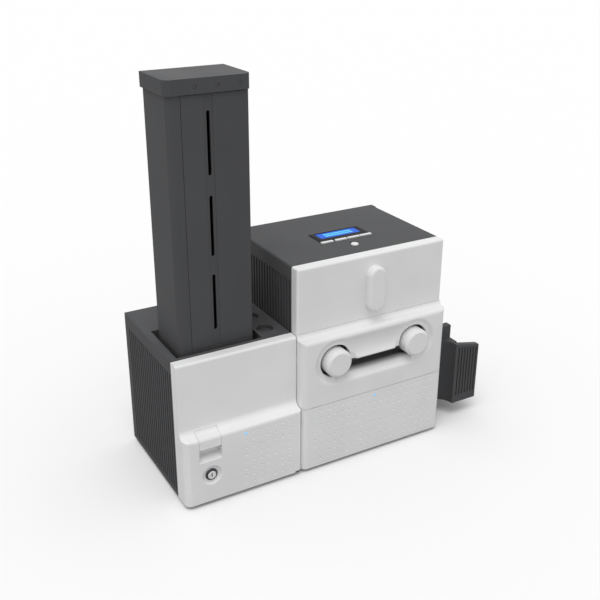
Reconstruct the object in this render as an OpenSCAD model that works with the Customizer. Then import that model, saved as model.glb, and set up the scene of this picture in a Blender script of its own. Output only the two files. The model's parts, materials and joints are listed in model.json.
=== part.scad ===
// Card printer with a card loading module on its left and an output bin on its right.
// x runs to the right, y to the back and z up. Inside the modules x is counted from the
// printer's left side, y from its upper front face and z from the underside of the bodies.

/* [Printer] */
// Width of the printer
printer_w = 268; // [266:1:280]
// Height of the printer above its feet
printer_h = 334; // [330:1:344]
// Depth of both modules behind the upper front face
body_d = 208; // [206:1:230]
// How far the lower front stands out
front_step = 17.4; // [16:0.1:20]
// Height of the seam under the upper front panel
ledge_z = 229; // [226:1:236]
// Height of the seam under the ribbon drawer
drawer_z = 108; // [107:0.5:108]
// Depth of the white front parts behind the upper front face
panel_d = 16.3; // [15:0.1:17]
// Depth of the lid's skirt
lid_skirt = 22; // [20:1:26]
// Wall of the covers
wall = 3; // [2.5:0.1:3.4]
// Height of the rubber feet
foot_h = 6; // [4:0.5:10]

/* [Card] */
// Length of a card
card_l = 85.6; // [80:0.1:88]
// Width of a card
card_w = 54; // [50:0.1:56]
// Thickness of a card
card_t = 0.8; // [0.5:0.1:1]
// Height of the card path
card_z = 110; // [110:0.1:111]

/* [Loader] */
// Width of the loading module
loader_w = 194; // [192:1:206]
// Height of the loading module
loader_h = 227.6; // [224:0.1:232]
// Gap between the two modules
module_gap = 1; // [0.5:0.1:3]
// Height of the top of the tower
tower_top = 614.3; // [600:0.1:640]

/* [Moving parts] */
// Travel of a menu key
key_travel = 1; // [0.5:0.1:1.5]
// Travel of a drawer release knob
knob_travel = 4; // [3:0.5:5]
// Lift of the print head
head_lift = 4; // [2:0.5:6]

/* [Hidden] */
$fn = 48;

// Overrun of cuts and of forms that run into each other, seam between covers, clearance of
// moving parts, of running shafts and of seated pins
over = 1;
seam = 0.6;
gap = 0.4;
run_fit = 0.05;
pin_fit = 0.01;
dark = [0.27, 0.275, 0.285];
pale = [0.86, 0.86, 0.87];
steel = [0.7, 0.71, 0.73];
rubber = [0.16, 0.16, 0.17];

// Corner and edge rounding of the fronts
corner_r = 10;
edge_r = 3;
panel_edge_r = 4;
inner = wall + seam;
mid_x = printer_w / 2;
base_t = 3;
rim_h = 12;
rim_t = 2.4;

// Ledge of the drawer: concave and convex radius, height of its flat
cove_r = 7.4;
brow_r = 7;
shelf_z = ledge_z - cove_r;

// Lid, hinge ears and hinge pins
lid_z = printer_h - lid_skirt;
hinge_r = 5;
hinge_y = body_d - hinge_r;
hinge_z = printer_h - hinge_r;
ear_w = 8;
ear_d = 18;
pin_r = 2;
lid_pin_l = 20;
lid_pin_in = 2;
lid_rib = 30;

// Grooves of the covers
groove_w = 4.2;
groove_pitch = 8.8;
groove_depth = 2;
groove_start = 22.4;
groove_low = 8;
groove_high = 1.4;

// Bosses between the two modules
dock_y = 150;
dock_z = [40, 160];
dock_w = 20;

// Dimples of the fronts
dimple_pitch = 12.35;
dimple_low = 12.3;
dimple_rows = 8;
dimple_side = 20;
dimple_cols = floor((printer_w - dimple_side * 2) / dimple_pitch) + 1;
door_dimple_cols = 7;
dimple_depth = 0.9;
dimple_ball = 2.7;
led_r = 2.2;
led_depth = 6;
led_proud = 0.3;
led_flange = 0.3;
loader_led_r = 2.7;
door_dimple_in = 20.9;

// Drawer handle and its release knobs
knob_in = 61;
knob_x = mid_x - knob_in;
knob_z = 176.9;
knob_r = 22.5;
knob_face_r = 18;
knob_proud = 10;
knob_bevel = 4.5;
knob_back = 14;
stem_r = 6;
stem_head_r = 9;
stem_head = 2.4;
well_r = 27;
well_clear = 5;
well_depth = knob_back + knob_travel + well_clear;
dish_r = 38;
dish_floor_r = 33;
dish_depth = 4;
lip_z = 173.5;
slot_depth = 23;
slot_low = 158;
lip_r = 38.6;
lip_dip = 5;
pocket_back = 3;

// Port cover, upper front
cap_right = 1.75;
cap_x = mid_x + cap_right;
cap_below = 2.5;
cap_z = (ledge_z + printer_h) / 2 - cap_below;
cap_w = 30.5;
cap_room = 5;
cap_l_share = 0.74;
cap_l = (printer_h - ledge_z - cap_room) * cap_l_share;
cap_d = 13;
cap_edge = 5;
cap_wall = 2;
cap_prong = [4.4, 5, 11.6];
port_hole = [8, 15];
socket_size = [6, 16, 13.4];
socket_wall = 0.5;
socket_flange = [14, 1.5, 21];

// Display, keys and navigation button
bezel_left = 45;
bezel_at = [mid_x - bezel_left, 82];
bezel_size = [91.5, 37];
bezel_proud = 1;
bezel_sink = 1.2;
lcd_left = 35.5;
lcd_at = [mid_x - lcd_left, 94];
lcd_size = [73.5, 22];
lcd_t = 4;
key_places = [-46, -20.5, 3, 25.7];
key_row = [for (place = key_places) mid_x + place];
key_y = 75.5;
key_size = [21.3, 5];
key_rest = 0.8;
key_proud = key_travel + key_rest;
key_flange = 1.6;
nav_left = 2.5;
nav_at = [mid_x - nav_left, 49.5];
nav_r = 6;
nav_round = 1;
nav_notch = [4, 12];

// Card path, rollers and belt
card_y = 74;
frame_side = 24;
frame_t = 2;
frame_front = 36;
frame_back = 108;
frame_top = 225;
frame_spare = 22;
frame_deep = body_d - frame_spare;
plate_top = 107.5;
ear_top = 124;
ear_l = 17;
roller_r = 8;
roller_w = 50;
axle_r = 3;
pinch_r = 6;
pinch_axle_r = 2;
edge_roller_x = 14;
path_low = card_z - card_t / 2 - gap / 2;
path_high = card_z + card_t / 2 + gap / 2;
roller_z = path_low - roller_r;
pinch_z = path_high + pinch_r;
ledge_t = 2;
ledge_lap = 1.4;
gate_h = 6;
gate_w = 58;
pulley_r = 8;
pulley_w = 5;
pulley_y = 112.5;
belt_t = 1.4;
belt_window = [72, 118];
motor_in = 78;
motor_x = printer_w - motor_in;
motor_z = 46;
motor_size = [42, 38, 42];
motor_shaft_r = 2.5;

// Print head
head_w = 24;
head_tip = 4;
head_low = 112;
head_mid = 150;
head_high = 196;
rod_r = 4;
rod_gap = 28;
rod_spare = 9;
rod_top = frame_top + frame_t + head_lift + rod_spare;

// Ribbon drawer
tray_side = 40;
tray_t = 2.6;
tray_top = 200;
tray_back = 106;
tray_low = drawer_z + gap + seam / 2;
tray_gate = card_z + 4;
head_notch = 44;
runner = [8, 5];
runner_z = 150;
rail_t = 3.7;
rail_w = 12;
spool_z = 158;
spool_r = 4;
core_r = 9;
tray_spare = 13;
roll_spare = 28;
supply_r = (mid_x - head_w / 2 - tray_side - roll_spare) / 2;
spool_span = mid_x - tray_side - supply_r - tray_spare;
supply_x = mid_x - spool_span;
takeup_x = mid_x + spool_span;
takeup_r = 14;
film_w = 56;
film_t = 0.2;
film_z = card_z + 1;
film_dip = 16;

// Power, board and fan
supply_ahead = 14;
supply_side = 30;
supply_rear = 8;
supply_w = 88;
supply_h = 62;
supply_at = [printer_w - supply_side - supply_w, frame_back + supply_ahead];
supply_size = [supply_w, body_d - supply_rear - supply_at.y, supply_h];
board_side = 6;
board_rear = 6;
board_t = 1.6;
board_at = [40, supply_at.y, 18];
board_size = [supply_at.x - board_at.x - board_side, body_d - board_rear - board_at.y, board_t];
post_r = 3;
chip_at = [board_size.x / 2, board_size.y / 4];
chip_size = [22, 22, 3];
usb_b_at = 12;
usb_b_size = [12, 16, 11];
lan_at = 40;
lan_size = [16, 20, 13.5];
port_inset = 1.5;
port_reach = body_d - port_inset;
port_shell = 1;
port_deep = 12;
vent_w = 3;
vent_pitch = 7;
vent_l = 40;
vent_depth = 1;
inlet_in = 60;
inlet_x = printer_w - inlet_in;
inlet_z = 80;
inlet_size = [27, 20];
inlet_face = [32, 24];
inlet_deep = 24;
inlet_well = 16;
pin_blade = [2, 14, 4];
pin_spread = 7;
switch_left = 38;
switch_x = inlet_x - switch_left;
switch_size = [13, 21];
switch_r = 14;
switch_tilt = 8;
switch_edge = 1.5;
fan_left = 44;
fan_x = mid_x - fan_left;
fan_z = 180;
fan_w = 60;
fan_t = 15;
fan_hole_r = 28;
fan_hub_r = 13;
fan_tip_r = 26.5;
fan_blades = 7;
fan_pitch = 38;
fan_blade_t = 1;
fan_blade_w = 13;
fan_inset = 1;
fan_axle_r = 2;
fan_strut = 3;
strut_inset = 0.5;

// Feet
foot_r = 9;
foot_taper = 1;
foot_in = 26;

// Output bin
bin_reach = 95.5;
bin_low = 20;
bin_front = 3;
bin_back = 108;
bin_wall = 3;
bin_face_t = 9.5;
bin_face_x = 45.5;
bin_top_left = 134.5;
bin_top_right = 123.5;
bin_post_y = 31;
bin_post_t = 12;
bin_post_x = 54;
bin_post_top = 158;
bin_cove_r = 28;
bin_side_h = 45;
bin_rib_pitch = 6.2;
bin_rib_w = 3;
bin_rib_depth = 2;
bin_rib_in = 6;
bin_rib_low = 14;
bin_rib_high = 6;

// Loading module: sides, door ledge, deck
lx0 = -module_gap - loader_w;
lx1 = -module_gap;
door_brow_z = 105;
door_cove_r = 11.4;
door_brow_r = front_step - door_cove_r;
door_top_z = door_brow_z + front_step;
door_pivot_r = 5;
pivot_x = lx1 - door_pivot_r;
pivot_y = -front_step + door_pivot_r;
door_gap = 0.8;
loader_back = panel_d + door_gap + seam;
loader_base_t = 2.4;
apron_in = 12;
knuckle_low = 3;
knuckle_top = 100;
knuckle_cut = [82.6, 87.4];
eye_r = 3.4;
arm_half = 2.2;
arm_t = 4;
door_pin_l = 14;
side_low_z = 102;
loader_band = 21;
loader_edge_r = 4;
well_wall = 2;
well_deep = 24;
well_side = 9;
well_front = 9.4;
cup_x = -28;
cup_y = [49, 98];
cup_r = 13;
cup_depth = 6;

// Latch and lock of the door
latch_x = [-171.7, -135.8];
latch_z = [92, 117];
latch_turn = 41.6;
latch_pin_r = 1;
latch_pin_l = 2;
hook_w = 12;
hook_t = 3;
hook_end = 12;
hook_drop = 5;
finger_z = 70;
finger_deep = 12;
finger_wall = 2.4;
finger_rise = 8.4;
lock_x = -152.7;
lock_z = 45;
lock_dish_r = 16.3;
lock_dish_floor = 12;
lock_dish_depth = 3.4;
lock_ring_r = 10;
lock_ring_taper = 1;
lock_boss_r = 14;
lock_boss = 7;
barrel_r = 6.5;
barrel_back = 20;
keyhole = [1.6, 7, 4];
cam_size = [8, 2, 30];
cam_below = 24;
strike_y = -1.2;
strike_size = [18, 3, 52];

// Tower
tower_x0 = -173.7;
tower_x1 = -55.2;
tower_y0 = 33;
tower_y1 = 114.75;
tower_low = 112;
tower_r = 8;
tower_wall = 3;
cap_low = 593.6;
cap_over = 3;
cap_hold = 0.3;
door_left = -154.5;
door_low = 229.2;
tower_pin_r = 1.5;
tower_pivot_r = 4;
tower_pin_l = 16;
lug_h = 10;
slot_x = -115.7;
slot_w = 5;
slot_spans = [[253.3, 338.9], [366.5, 454.5], [482.7, 570.8]];
channel_w = 13.7;
channel_depth = 0.6;
guide_t = 2;
guide_clear = 1.2;
screw_r = 2.6;
screw_head = 1.2;
screw_drive = 1.4;
screw_x = [-134.4, -102, -69.1];
screw_z = 603.6;
weight_h = 30;
weight_clear = 1.6;
weight_dish = 10;

// Loader frame and pick roller
shelf_t = 3;
shelf_back = 115;
pick_x = -115;
pick_shaft_end = 122;
throat_x = -161;
throat_y = [44, 104];
pick_window = [24, 52];
pick_r = 8;
pick_z = path_low - gap / 2 - pick_r;
throat_wall = 1;
shelf_front = 1;

x_low = lx0;
x_high = printer_w + bin_reach;
y_low = -front_step - knob_proud;
y_high = body_d;

// Moves a piece from module coordinates to the frame whose origin is the middle of the
// footprint at the level the feet stand on
module placed() translate([-(x_low + x_high) / 2, -(y_low + y_high) / 2, foot_h]) children();

// Plain block between two corners
module block(low, high) translate(low) cube(high - low);

// Round bars along the three axes
module bar_x(x0, x1, y, z, r) translate([x0, y, z]) rotate([0, 90, 0]) cylinder(h = x1 - x0, r = r);
module bar_y(x, y0, y1, z, r) translate([x, y1, z]) rotate([90, 0, 0]) cylinder(h = y1 - y0, r = r);
module bar_z(x, y, z0, z1, r) translate([x, y, z0]) cylinder(h = z1 - z0, r = r);

// Cone along y whose radius is r0 at y0 and r1 at y1
module cone_y(x, y0, y1, z, r0, r1)
    translate([x, y0, z]) rotate([-90, 0, 0]) cylinder(h = y1 - y0, r1 = r0, r2 = r1);

// Outline seen from above with rounded front corners
module plan(x0, x1, y0, y1, left_r, right_r) {
    translate([x0 + left_r, y0]) square([x1 - x0 - left_r - right_r, y1 - y0]);
    translate([x0, y0 + left_r]) square([left_r, y1 - y0 - left_r]);
    translate([x1 - right_r, y0 + right_r]) square([right_r, y1 - y0 - right_r]);
    translate([x0 + left_r, y0 + left_r]) circle(left_r);
    translate([x1 - right_r, y0 + right_r]) circle(right_r);
}

// Solid with that outline between two heights
module plan_block(x0, x1, y0, y1, z0, z1, left_r, right_r)
    translate([0, 0, z0]) linear_extrude(z1 - z0) plan(x0, x1, y0, y1, left_r, right_r);

// Stands an outline drawn in y and z up and runs it along x
module along_x(x0, x1) translate([x0, 0, 0]) rotate([90, 0, 90]) linear_extrude(x1 - x0) children();

// Stands an outline drawn in x and z up and runs it along y
module along_y(y0, y1) translate([0, y1, 0]) rotate([90, 0, 0]) linear_extrude(y1 - y0) children();

// Side outline of a front that steps out over a ledge: inset by t for the cavity inside it
module ledge_outline(z0, z_shelf, z_top, hollow_r, round_r, t) {
    back = panel_d + (t > 0 ? over : 0);
    translate([t - front_step, z0]) square([back + front_step - t, z_shelf - round_r - z0]);
    translate([round_r - front_step, z_shelf - round_r - over])
        square([back + front_step - round_r, round_r + over - t]);
    translate([round_r - front_step, z_shelf - round_r]) circle(round_r - t);
    translate([t, z_shelf - over - t]) square([back - t, z_top - z_shelf + over]);
    difference() {
        translate([-hollow_r, z_shelf - t - over]) square([hollow_r + t + over, hollow_r + over]);
        translate([-hollow_r, z_shelf + hollow_r]) circle(hollow_r + t);
    }
}

// Shallow round dimples in a face at y
module dimple_field(x0, cols, y) {
    for (i = [0:cols - 1], k = [0:dimple_rows - 1])
        translate([x0 + i * dimple_pitch, y - dimple_ball + dimple_depth, dimple_low + k * dimple_pitch])
            sphere(dimple_ball, $fn = 24);
}

// Stadium with soft front edges, standing along z, its back at y = 0
module soft_stadium(w, l, d, r) {
    for (s = [-1, 1])
        translate([0, 0, s * (l - w) / 2]) rotate([90, 0, 0]) rotate_extrude() stadium_half(w, d, r);
    translate([0, 0, -(l - w) / 2]) linear_extrude(l - w) {
        mirror([0, 1]) stadium_half(w, d, r);
        mirror([1, 0]) mirror([0, 1]) stadium_half(w, d, r);
    }
}
module stadium_half(w, d, r) {
    square([w / 2, d - r]);
    square([w / 2 - r, d]);
    translate([w / 2 - r, d - r]) circle(r);
}

// Upright grooves in a wall that starts at x and is cut from the side s
module side_grooves(x, s, z0, z1) {
    count = floor((body_d - groove_start - ear_d) / groove_pitch);
    for (i = [0:count])
        translate([s > 0 ? x - groove_depth : x - over, groove_start + i * groove_pitch - groove_w / 2, z0])
            cube([groove_depth + over, groove_w, z1 - z0]);
}

// Pan with a floor and an upright rim
module pan(x0, x1, y0, y1, floor_t, r) {
    difference() {
        plan_block(x0, x1, y0, y1, 0, rim_h, r, r);
        plan_block(x0 + rim_t, x1 - rim_t, y0 + rim_t, y1 - rim_t, floor_t, rim_h + over,
            r - rim_t, r - rim_t);
    }
}

// Printer, fixed parts

module printer_base() placed() color(dark) {
    pan(inner, printer_w - inner, inner - front_step, body_d - inner, base_t, corner_r - inner);
    for (dx = [post_r, board_size.x - post_r], dy = [post_r, board_size.y - post_r])
        bar_z(board_at.x + dx, board_at.y + dy, 0, board_at.z, post_r);
}

// Hinge ear between two heights, its upper front corner rounded about the hinge so the lid passes it
module ear(x0, x1, z0) {
    reach = ear_d - hinge_r;
    block([x0, hinge_y - reach, z0], [x1, body_d, hinge_z]);
    intersection() {
        block([x0, hinge_y - reach, hinge_z - over], [x1, hinge_y, printer_h]);
        bar_x(x0, x1, hinge_y, hinge_z, reach);
    }
    bar_x(x0, x1, hinge_y, hinge_z, hinge_r);
}

module side_cover(x0, x1, s, ear_x) difference() {
    union() {
        block([x0, panel_d + seam, 0], [x1, body_d, lid_z - seam]);
        ear(x0, x1, lid_z - seam - over);
        ear(ear_x, ear_x + ear_w, lid_z);
    }
    side_grooves(s > 0 ? x1 : x0, s, groove_low, lid_z - seam - groove_high);
    block([x0 - over, card_y - gate_w / 2, card_z - gate_h / 2],
        [x1 + over, card_y + gate_w / 2, card_z + gate_h / 2]);
    bar_x(s > 0 ? ear_x - over : lid_pin_in, s > 0 ? printer_w - lid_pin_in : ear_x + ear_w + over,
        hinge_y, hinge_z, pin_r + pin_fit);
}
module left_cover() placed() color(dark) {
    side_cover(0, wall, -1, 0);
    for (z = dock_z)
        block([-module_gap, dock_y, z], [wall, dock_y + dock_w, z + dock_w]);
}
module right_cover() placed() color(dark) side_cover(printer_w - wall, printer_w, 1, printer_w - ear_w);

module rear_cover() placed() color(dark) difference() {
    union() {
        block([inner, body_d - wall, 0], [printer_w - inner, body_d, lid_z]);
        difference() {
            block([ear_w + gap, body_d - wall, lid_z - over], [printer_w - ear_w - gap, body_d, hinge_z]);
            bar_x(0, printer_w, hinge_y, hinge_z, hinge_r + gap);
        }
    }
    bar_y(fan_x, body_d - wall - over, body_d + over, fan_z, fan_hole_r);
    block([inlet_x - inlet_size.x / 2, body_d - wall - over, inlet_z - inlet_size.y / 2],
        [inlet_x + inlet_size.x / 2, body_d + over, inlet_z + inlet_size.y / 2]);
    block([switch_x - switch_size.x / 2 - gap, body_d - wall - over, inlet_z - switch_size.y / 2 - gap],
        [switch_x + switch_size.x / 2 + gap, body_d + over, inlet_z + switch_size.y / 2 + gap]);
    block([board_at.x + usb_b_at - gap, body_d - wall - over, board_at.z + board_size.z - gap],
        [board_at.x + usb_b_at + usb_b_size.x + gap, body_d + over,
            board_at.z + board_size.z + usb_b_size.z + gap]);
    block([board_at.x + lan_at - gap, body_d - wall - over, board_at.z + board_size.z - gap],
        [board_at.x + lan_at + lan_size.x + gap, body_d + over,
            board_at.z + board_size.z + lan_size.z + gap]);
}

module lower_front_panel() placed() color(pale) difference() {
    plan_block(0, printer_w, -front_step, panel_d, 0, drawer_z - seam, corner_r, corner_r);
    plan_block(wall, printer_w - wall, wall - front_step, panel_d + over, -over, drawer_z,
        corner_r - wall, corner_r - wall);
    difference() {
        dimple_field(mid_x - (dimple_cols - 1) / 2 * dimple_pitch, dimple_cols, -front_step);
        bar_y(mid_x, -front_step - dimple_ball, 0, led_z(), dimple_ball + over);
    }
    bar_y(mid_x, -front_step - over, 0, led_z(), led_r + pin_fit);
}
function led_z() = dimple_low + (dimple_rows - 1) * dimple_pitch;

module printer_led() placed() color([0.6, 0.85, 1]) {
    bar_y(mid_x, -front_step - led_proud, led_depth - front_step, led_z(), led_r);
    bar_y(mid_x, wall - front_step, led_depth - front_step, led_z(), led_r + led_flange);
}

module frame_side_plate(x) difference() {
    block([x, frame_front, base_t], [x + frame_t, frame_deep, frame_top + frame_t]);
    block([x - over, card_y - gate_w / 2, card_z - gate_h / 2],
        [x + frame_t + over, card_y + gate_w / 2, card_z + gate_h / 2]);
    block([x - over, frame_back + frame_t, belt_window[0]],
        [x + frame_t + over, pulley_y + pulley_w + over * 2, belt_window[1]]);
}

module frame_rail(x0, x1) {
    low = runner_z - gap;
    high = runner_z + runner.y + gap;
    block([x0, frame_front, low - rail_t], [x1, tray_back, low]);
    block([x0, frame_front, high], [x1, tray_back, high + rail_t]);
}

// Plate that carries the ends of the rollers, with an ear at each end for the pinch rollers
module roller_plate(y) difference() {
    end = inner + rim_t;
    union() {
        block([end, y, base_t], [printer_w - end, y + frame_t, plate_top]);
        block([end, y, base_t], [end + ear_l, y + frame_t, ear_top]);
        block([printer_w - end - ear_l, y, base_t], [printer_w - end, y + frame_t, ear_top]);
    }
    for (x = [edge_roller_x, mid_x, printer_w - edge_roller_x])
        bar_y(x, y - over, y + frame_t + over, roller_z, axle_r + run_fit);
    for (x = [edge_roller_x, printer_w - edge_roller_x])
        bar_y(x, y - over, y + frame_t + over, pinch_z, pinch_axle_r + run_fit);
    bar_y(motor_x, y - over, y + frame_t + over, motor_z, motor_shaft_r + over);
}

// Ledge and fence that carry one edge of a card through the printer
module card_guide(s) {
    end = inner + rim_t;
    lap = card_y + s * (card_w / 2 - ledge_lap);
    near = card_y + s * (card_w / 2 + gap);
    far = card_y + s * (card_w / 2 + gap + ledge_t);
    block([end, min(lap, far), path_low - ledge_t], [printer_w - end, max(lap, far), path_low]);
    block([end, min(near, far), path_low - ledge_t], [printer_w - end, max(near, far), path_high]);
}

module printer_frame() placed() color(steel) {
    right = printer_w - frame_side - frame_t;
    frame_side_plate(frame_side);
    frame_side_plate(right);
    frame_rail(frame_side, frame_side + rail_w);
    frame_rail(right + frame_t - rail_w, right + frame_t);
    roller_plate(frame_front);
    roller_plate(frame_back);
    card_guide(-1);
    card_guide(1);
    difference() {
        block([frame_side, frame_front, frame_top], [right + frame_t, frame_deep, frame_top + frame_t]);
        for (s = [-1, 1])
            bar_z(mid_x, card_y + s * rod_gap / 2, frame_top - over, frame_top + frame_t + over,
                rod_r + run_fit);
    }
}

module drive_motor() placed() color([0.25, 0.25, 0.27]) difference() {
    block([motor_x - motor_size.x / 2, frame_back - motor_size.y, motor_z - motor_size.z / 2],
        [motor_x + motor_size.x / 2, frame_back, motor_z + motor_size.z / 2]);
    bar_y(motor_x, frame_back - motor_size.y / 2, frame_back + over, motor_z, motor_shaft_r + run_fit);
}

module main_board() placed() color([0.1, 0.35, 0.2]) {
    top = board_at.z + board_size.z;
    translate(board_at) cube(board_size);
    translate([board_at.x + chip_at.x, board_at.y + chip_at.y, top]) cube(chip_size);
    difference() {
        union() {
            block([board_at.x + usb_b_at, port_reach - usb_b_size.y, top],
                [board_at.x + usb_b_at + usb_b_size.x, port_reach, top + usb_b_size.z]);
            block([board_at.x + lan_at, port_reach - lan_size.y, top],
                [board_at.x + lan_at + lan_size.x, port_reach, top + lan_size.z]);
        }
        for (port = [[usb_b_at, usb_b_size], [lan_at, lan_size]])
            block([board_at.x + port[0] + port_shell, port_reach - port_deep, top + port_shell],
                [board_at.x + port[0] + port[1].x - port_shell, port_reach + over,
                    top + port[1].z - port_shell]);
    }
}

module power_supply() placed() color([0.75, 0.76, 0.78]) difference() {
    translate([supply_at.x, supply_at.y, base_t]) cube(supply_size);
    for (x = [supply_at.x + vent_pitch:vent_pitch:supply_at.x + supply_size.x - vent_pitch])
        translate([x, supply_at.y + (supply_size.y - vent_l) / 2, base_t + supply_size.z - vent_depth])
            cube([vent_w, vent_l, vent_depth + over]);
}

module fan_frame() placed() color([0.12, 0.12, 0.13]) {
    back = body_d - wall;
    difference() {
        block([fan_x - fan_w / 2, back - fan_t, fan_z - fan_w / 2],
            [fan_x + fan_w / 2, back, fan_z + fan_w / 2]);
        bar_y(fan_x, back - fan_t - over, back + over, fan_z, fan_hole_r);
    }
    difference() {
        union() {
            bar_y(fan_x, back - fan_strut, back, fan_z, fan_hub_r);
            for (a = [45, 135])
                translate([fan_x, back - fan_strut + strut_inset, fan_z]) rotate([0, a, 0])
                    translate([-fan_hole_r - over, 0, -fan_strut / 2])
                        cube([(fan_hole_r + over) * 2, fan_strut - strut_inset * 2, fan_strut]);
        }
        bar_y(fan_x, back - fan_t, back + over, fan_z, fan_axle_r + run_fit);
    }
}

module power_inlet() placed() color([0.1, 0.1, 0.11]) difference() {
    union() {
        block([inlet_x - inlet_size.x / 2 + gap, body_d - inlet_deep, inlet_z - inlet_size.y / 2 + gap],
            [inlet_x + inlet_size.x / 2 - gap, body_d, inlet_z + inlet_size.y / 2 - gap]);
        block([inlet_x - inlet_face.x / 2, body_d - wall - rim_t, inlet_z - inlet_face.y / 2],
            [inlet_x + inlet_face.x / 2, body_d - wall, inlet_z + inlet_face.y / 2]);
    }
    difference() {
        block([inlet_x - inlet_size.x / 2 + rim_t, body_d - inlet_well, inlet_z - inlet_size.y / 2 + rim_t],
            [inlet_x + inlet_size.x / 2 - rim_t, body_d + over, inlet_z + inlet_size.y / 2 - rim_t]);
        for (i = [-1:1])
            translate([inlet_x + i * pin_spread - pin_blade.x / 2, body_d - inlet_well - over,
                inlet_z - pin_blade.z / 2 + (i == 0 ? pin_blade.x : 0)]) cube(pin_blade);
    }
}

module power_switch() placed() color([0.09, 0.09, 0.1]) intersection() {
    bar_x(switch_x - switch_size.x / 2, switch_x + switch_size.x / 2, body_d - switch_r, inlet_z, switch_r);
    translate([0, body_d - switch_r, inlet_z]) rotate([-switch_tilt, 0, 0])
        block([0, switch_r / 2, switch_edge - switch_size.y / 2],
            [printer_w, switch_r + over, switch_size.y / 2 - switch_edge]);
}

module hinge_pins() placed() color(steel) {
    bar_x(lid_pin_in, lid_pin_in + lid_pin_l, hinge_y, hinge_z, pin_r);
    bar_x(printer_w - lid_pin_in - lid_pin_l, printer_w - lid_pin_in, hinge_y, hinge_z, pin_r);
    bar_z(pivot_x, pivot_y, 0, door_pin_l, pin_r);
    bar_z(pivot_x, pivot_y, knuckle_cut[0] - door_pin_l / 2, knuckle_cut[1] + door_pin_l / 2, pin_r);
    bar_z(tower_x1 - tower_pivot_r, tower_y0 + tower_pivot_r, door_low - seam - tower_pin_l / 2,
        door_low + tower_pin_l / 2, tower_pin_r);
    bar_z(tower_x1 - tower_pivot_r, tower_y0 + tower_pivot_r, cap_low - seam - tower_pin_l / 2,
        cap_low + tower_pin_l / 2, tower_pin_r);
}

module feet() placed() color(rubber)
    for (span = [[inner, printer_w - inner], [lx0 + inner, lx1 - inner]],
        x = [span[0] + foot_in, span[1] - foot_in], y = [foot_in - front_step / 2, body_d - foot_in])
        translate([x, y, -foot_h]) cylinder(h = foot_h, r1 = foot_r - foot_taper, r2 = foot_r);

module output_bin() placed() color(dark) {
    x0 = printer_w;
    x1 = printer_w + bin_reach;
    xf = printer_w + bin_face_x;
    slope = (bin_top_left - bin_top_right) / (x1 - xf);
    difference() {
        along_y(bin_front, bin_front + bin_face_t)
            polygon([[xf, bin_low], [x1, bin_low], [x1, bin_top_right], [xf, bin_top_left]]);
        for (x = [xf + bin_rib_in:bin_rib_pitch:x1 - bin_rib_in / 2 - bin_rib_w])
            block([x, bin_front - over, bin_low + bin_rib_low],
                [x + bin_rib_w, bin_front + bin_rib_depth, bin_top_left - bin_rib_high - (x - xf) * slope]);
    }
    difference() {
        block([xf - bin_cove_r, bin_front, bin_low], [x0 + bin_post_x, bin_post_y + bin_wall, bin_top_left]);
        bar_z(xf - bin_cove_r, bin_front, bin_low - over, bin_top_left + over, bin_cove_r);
        block([xf, bin_front - over, bin_low - over], [x1, bin_front + bin_face_t, bin_top_left + over]);
    }
    block([x0, bin_post_y, bin_low], [x0 + bin_post_x, bin_post_y + bin_post_t, bin_post_top]);
    block([x0, bin_post_y, bin_low], [x1, bin_back, bin_low + bin_wall]);
    block([xf, bin_front, bin_low], [x1, bin_back, bin_low + bin_wall]);
    block([x0, bin_back - bin_wall, bin_low], [x1, bin_back, bin_low + bin_side_h]);
    block([x1 - bin_wall, bin_front, bin_low], [x1, bin_back, bin_low + bin_side_h]);
    block([x0, bin_post_y, bin_low], [x0 + bin_wall, bin_back, bin_low + bin_side_h]);
}

// Loading module, fixed parts

module loader_base() placed() color(dark) {
    difference() {
        union() {
            difference() {
                block([lx0 + inner, loader_back, 0], [lx1 - inner, body_d - inner, rim_h]);
                block([lx0 + inner + rim_t, loader_back + rim_t, loader_base_t],
                    [lx1 - inner - rim_t, body_d - inner - rim_t, rim_h + over]);
            }
            block([lx0 + apron_in, inner - front_step, 0], [pivot_x, loader_back + over, loader_base_t]);
            bar_z(pivot_x, pivot_y, 0, loader_base_t, door_pivot_r - seam);
        }
        bar_z(pivot_x, pivot_y, -over, loader_base_t + over, pin_r + pin_fit);
    }
    translate([lx0 + apron_in, strike_y, loader_base_t]) cube(strike_size);
}

module loader_cover() placed() color(dark) difference() {
    union() {
        block([lx0, panel_d + seam, 0], [lx0 + wall, body_d, loader_h]);
        block([lx0, body_d - wall, 0], [lx1, body_d, loader_h]);
        block([lx1 - wall, loader_back, 0], [lx1, body_d, loader_h]);
        block([lx1 - wall, pivot_y + door_pivot_r + door_gap, 0], [lx1, loader_back + over, side_low_z]);
    }
    side_grooves(lx0, -1, groove_low, loader_h - loader_band);
    block([lx1 - wall - over, card_y - gate_w / 2, card_z - gate_h / 2],
        [lx1 + over, card_y + gate_w / 2, card_z + gate_h / 2]);
}

module loader_deck() placed() color(dark) {
    wx0 = tower_x0 - well_side;
    wx1 = tower_x1 + well_side;
    wy0 = tower_y0 - well_front;
    wy1 = tower_y1 + well_side;
    top = loader_h;
    difference() {
        union() {
            block([lx0 + wall, loader_back, top - wall], [lx1 - wall, body_d - wall, top]);
            block([wx0 - well_wall, wy0 - well_wall, top - well_deep],
                [wx1 + well_wall, wy1 + well_wall, top]);
            for (y = cup_y)
                bar_z(cup_x, y, top - cup_depth - wall, top, cup_r + well_wall);
        }
        block([wx0, wy0, top - well_deep + well_wall], [wx1, wy1, top + over]);
        block([tower_x0 - gap, tower_y0 - gap, top - well_deep - over],
            [tower_x1 + gap, tower_y1 + gap, top + over]);
        for (y = cup_y)
            bar_z(cup_x, y, top - cup_depth, top + over, cup_r);
    }
}

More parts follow.
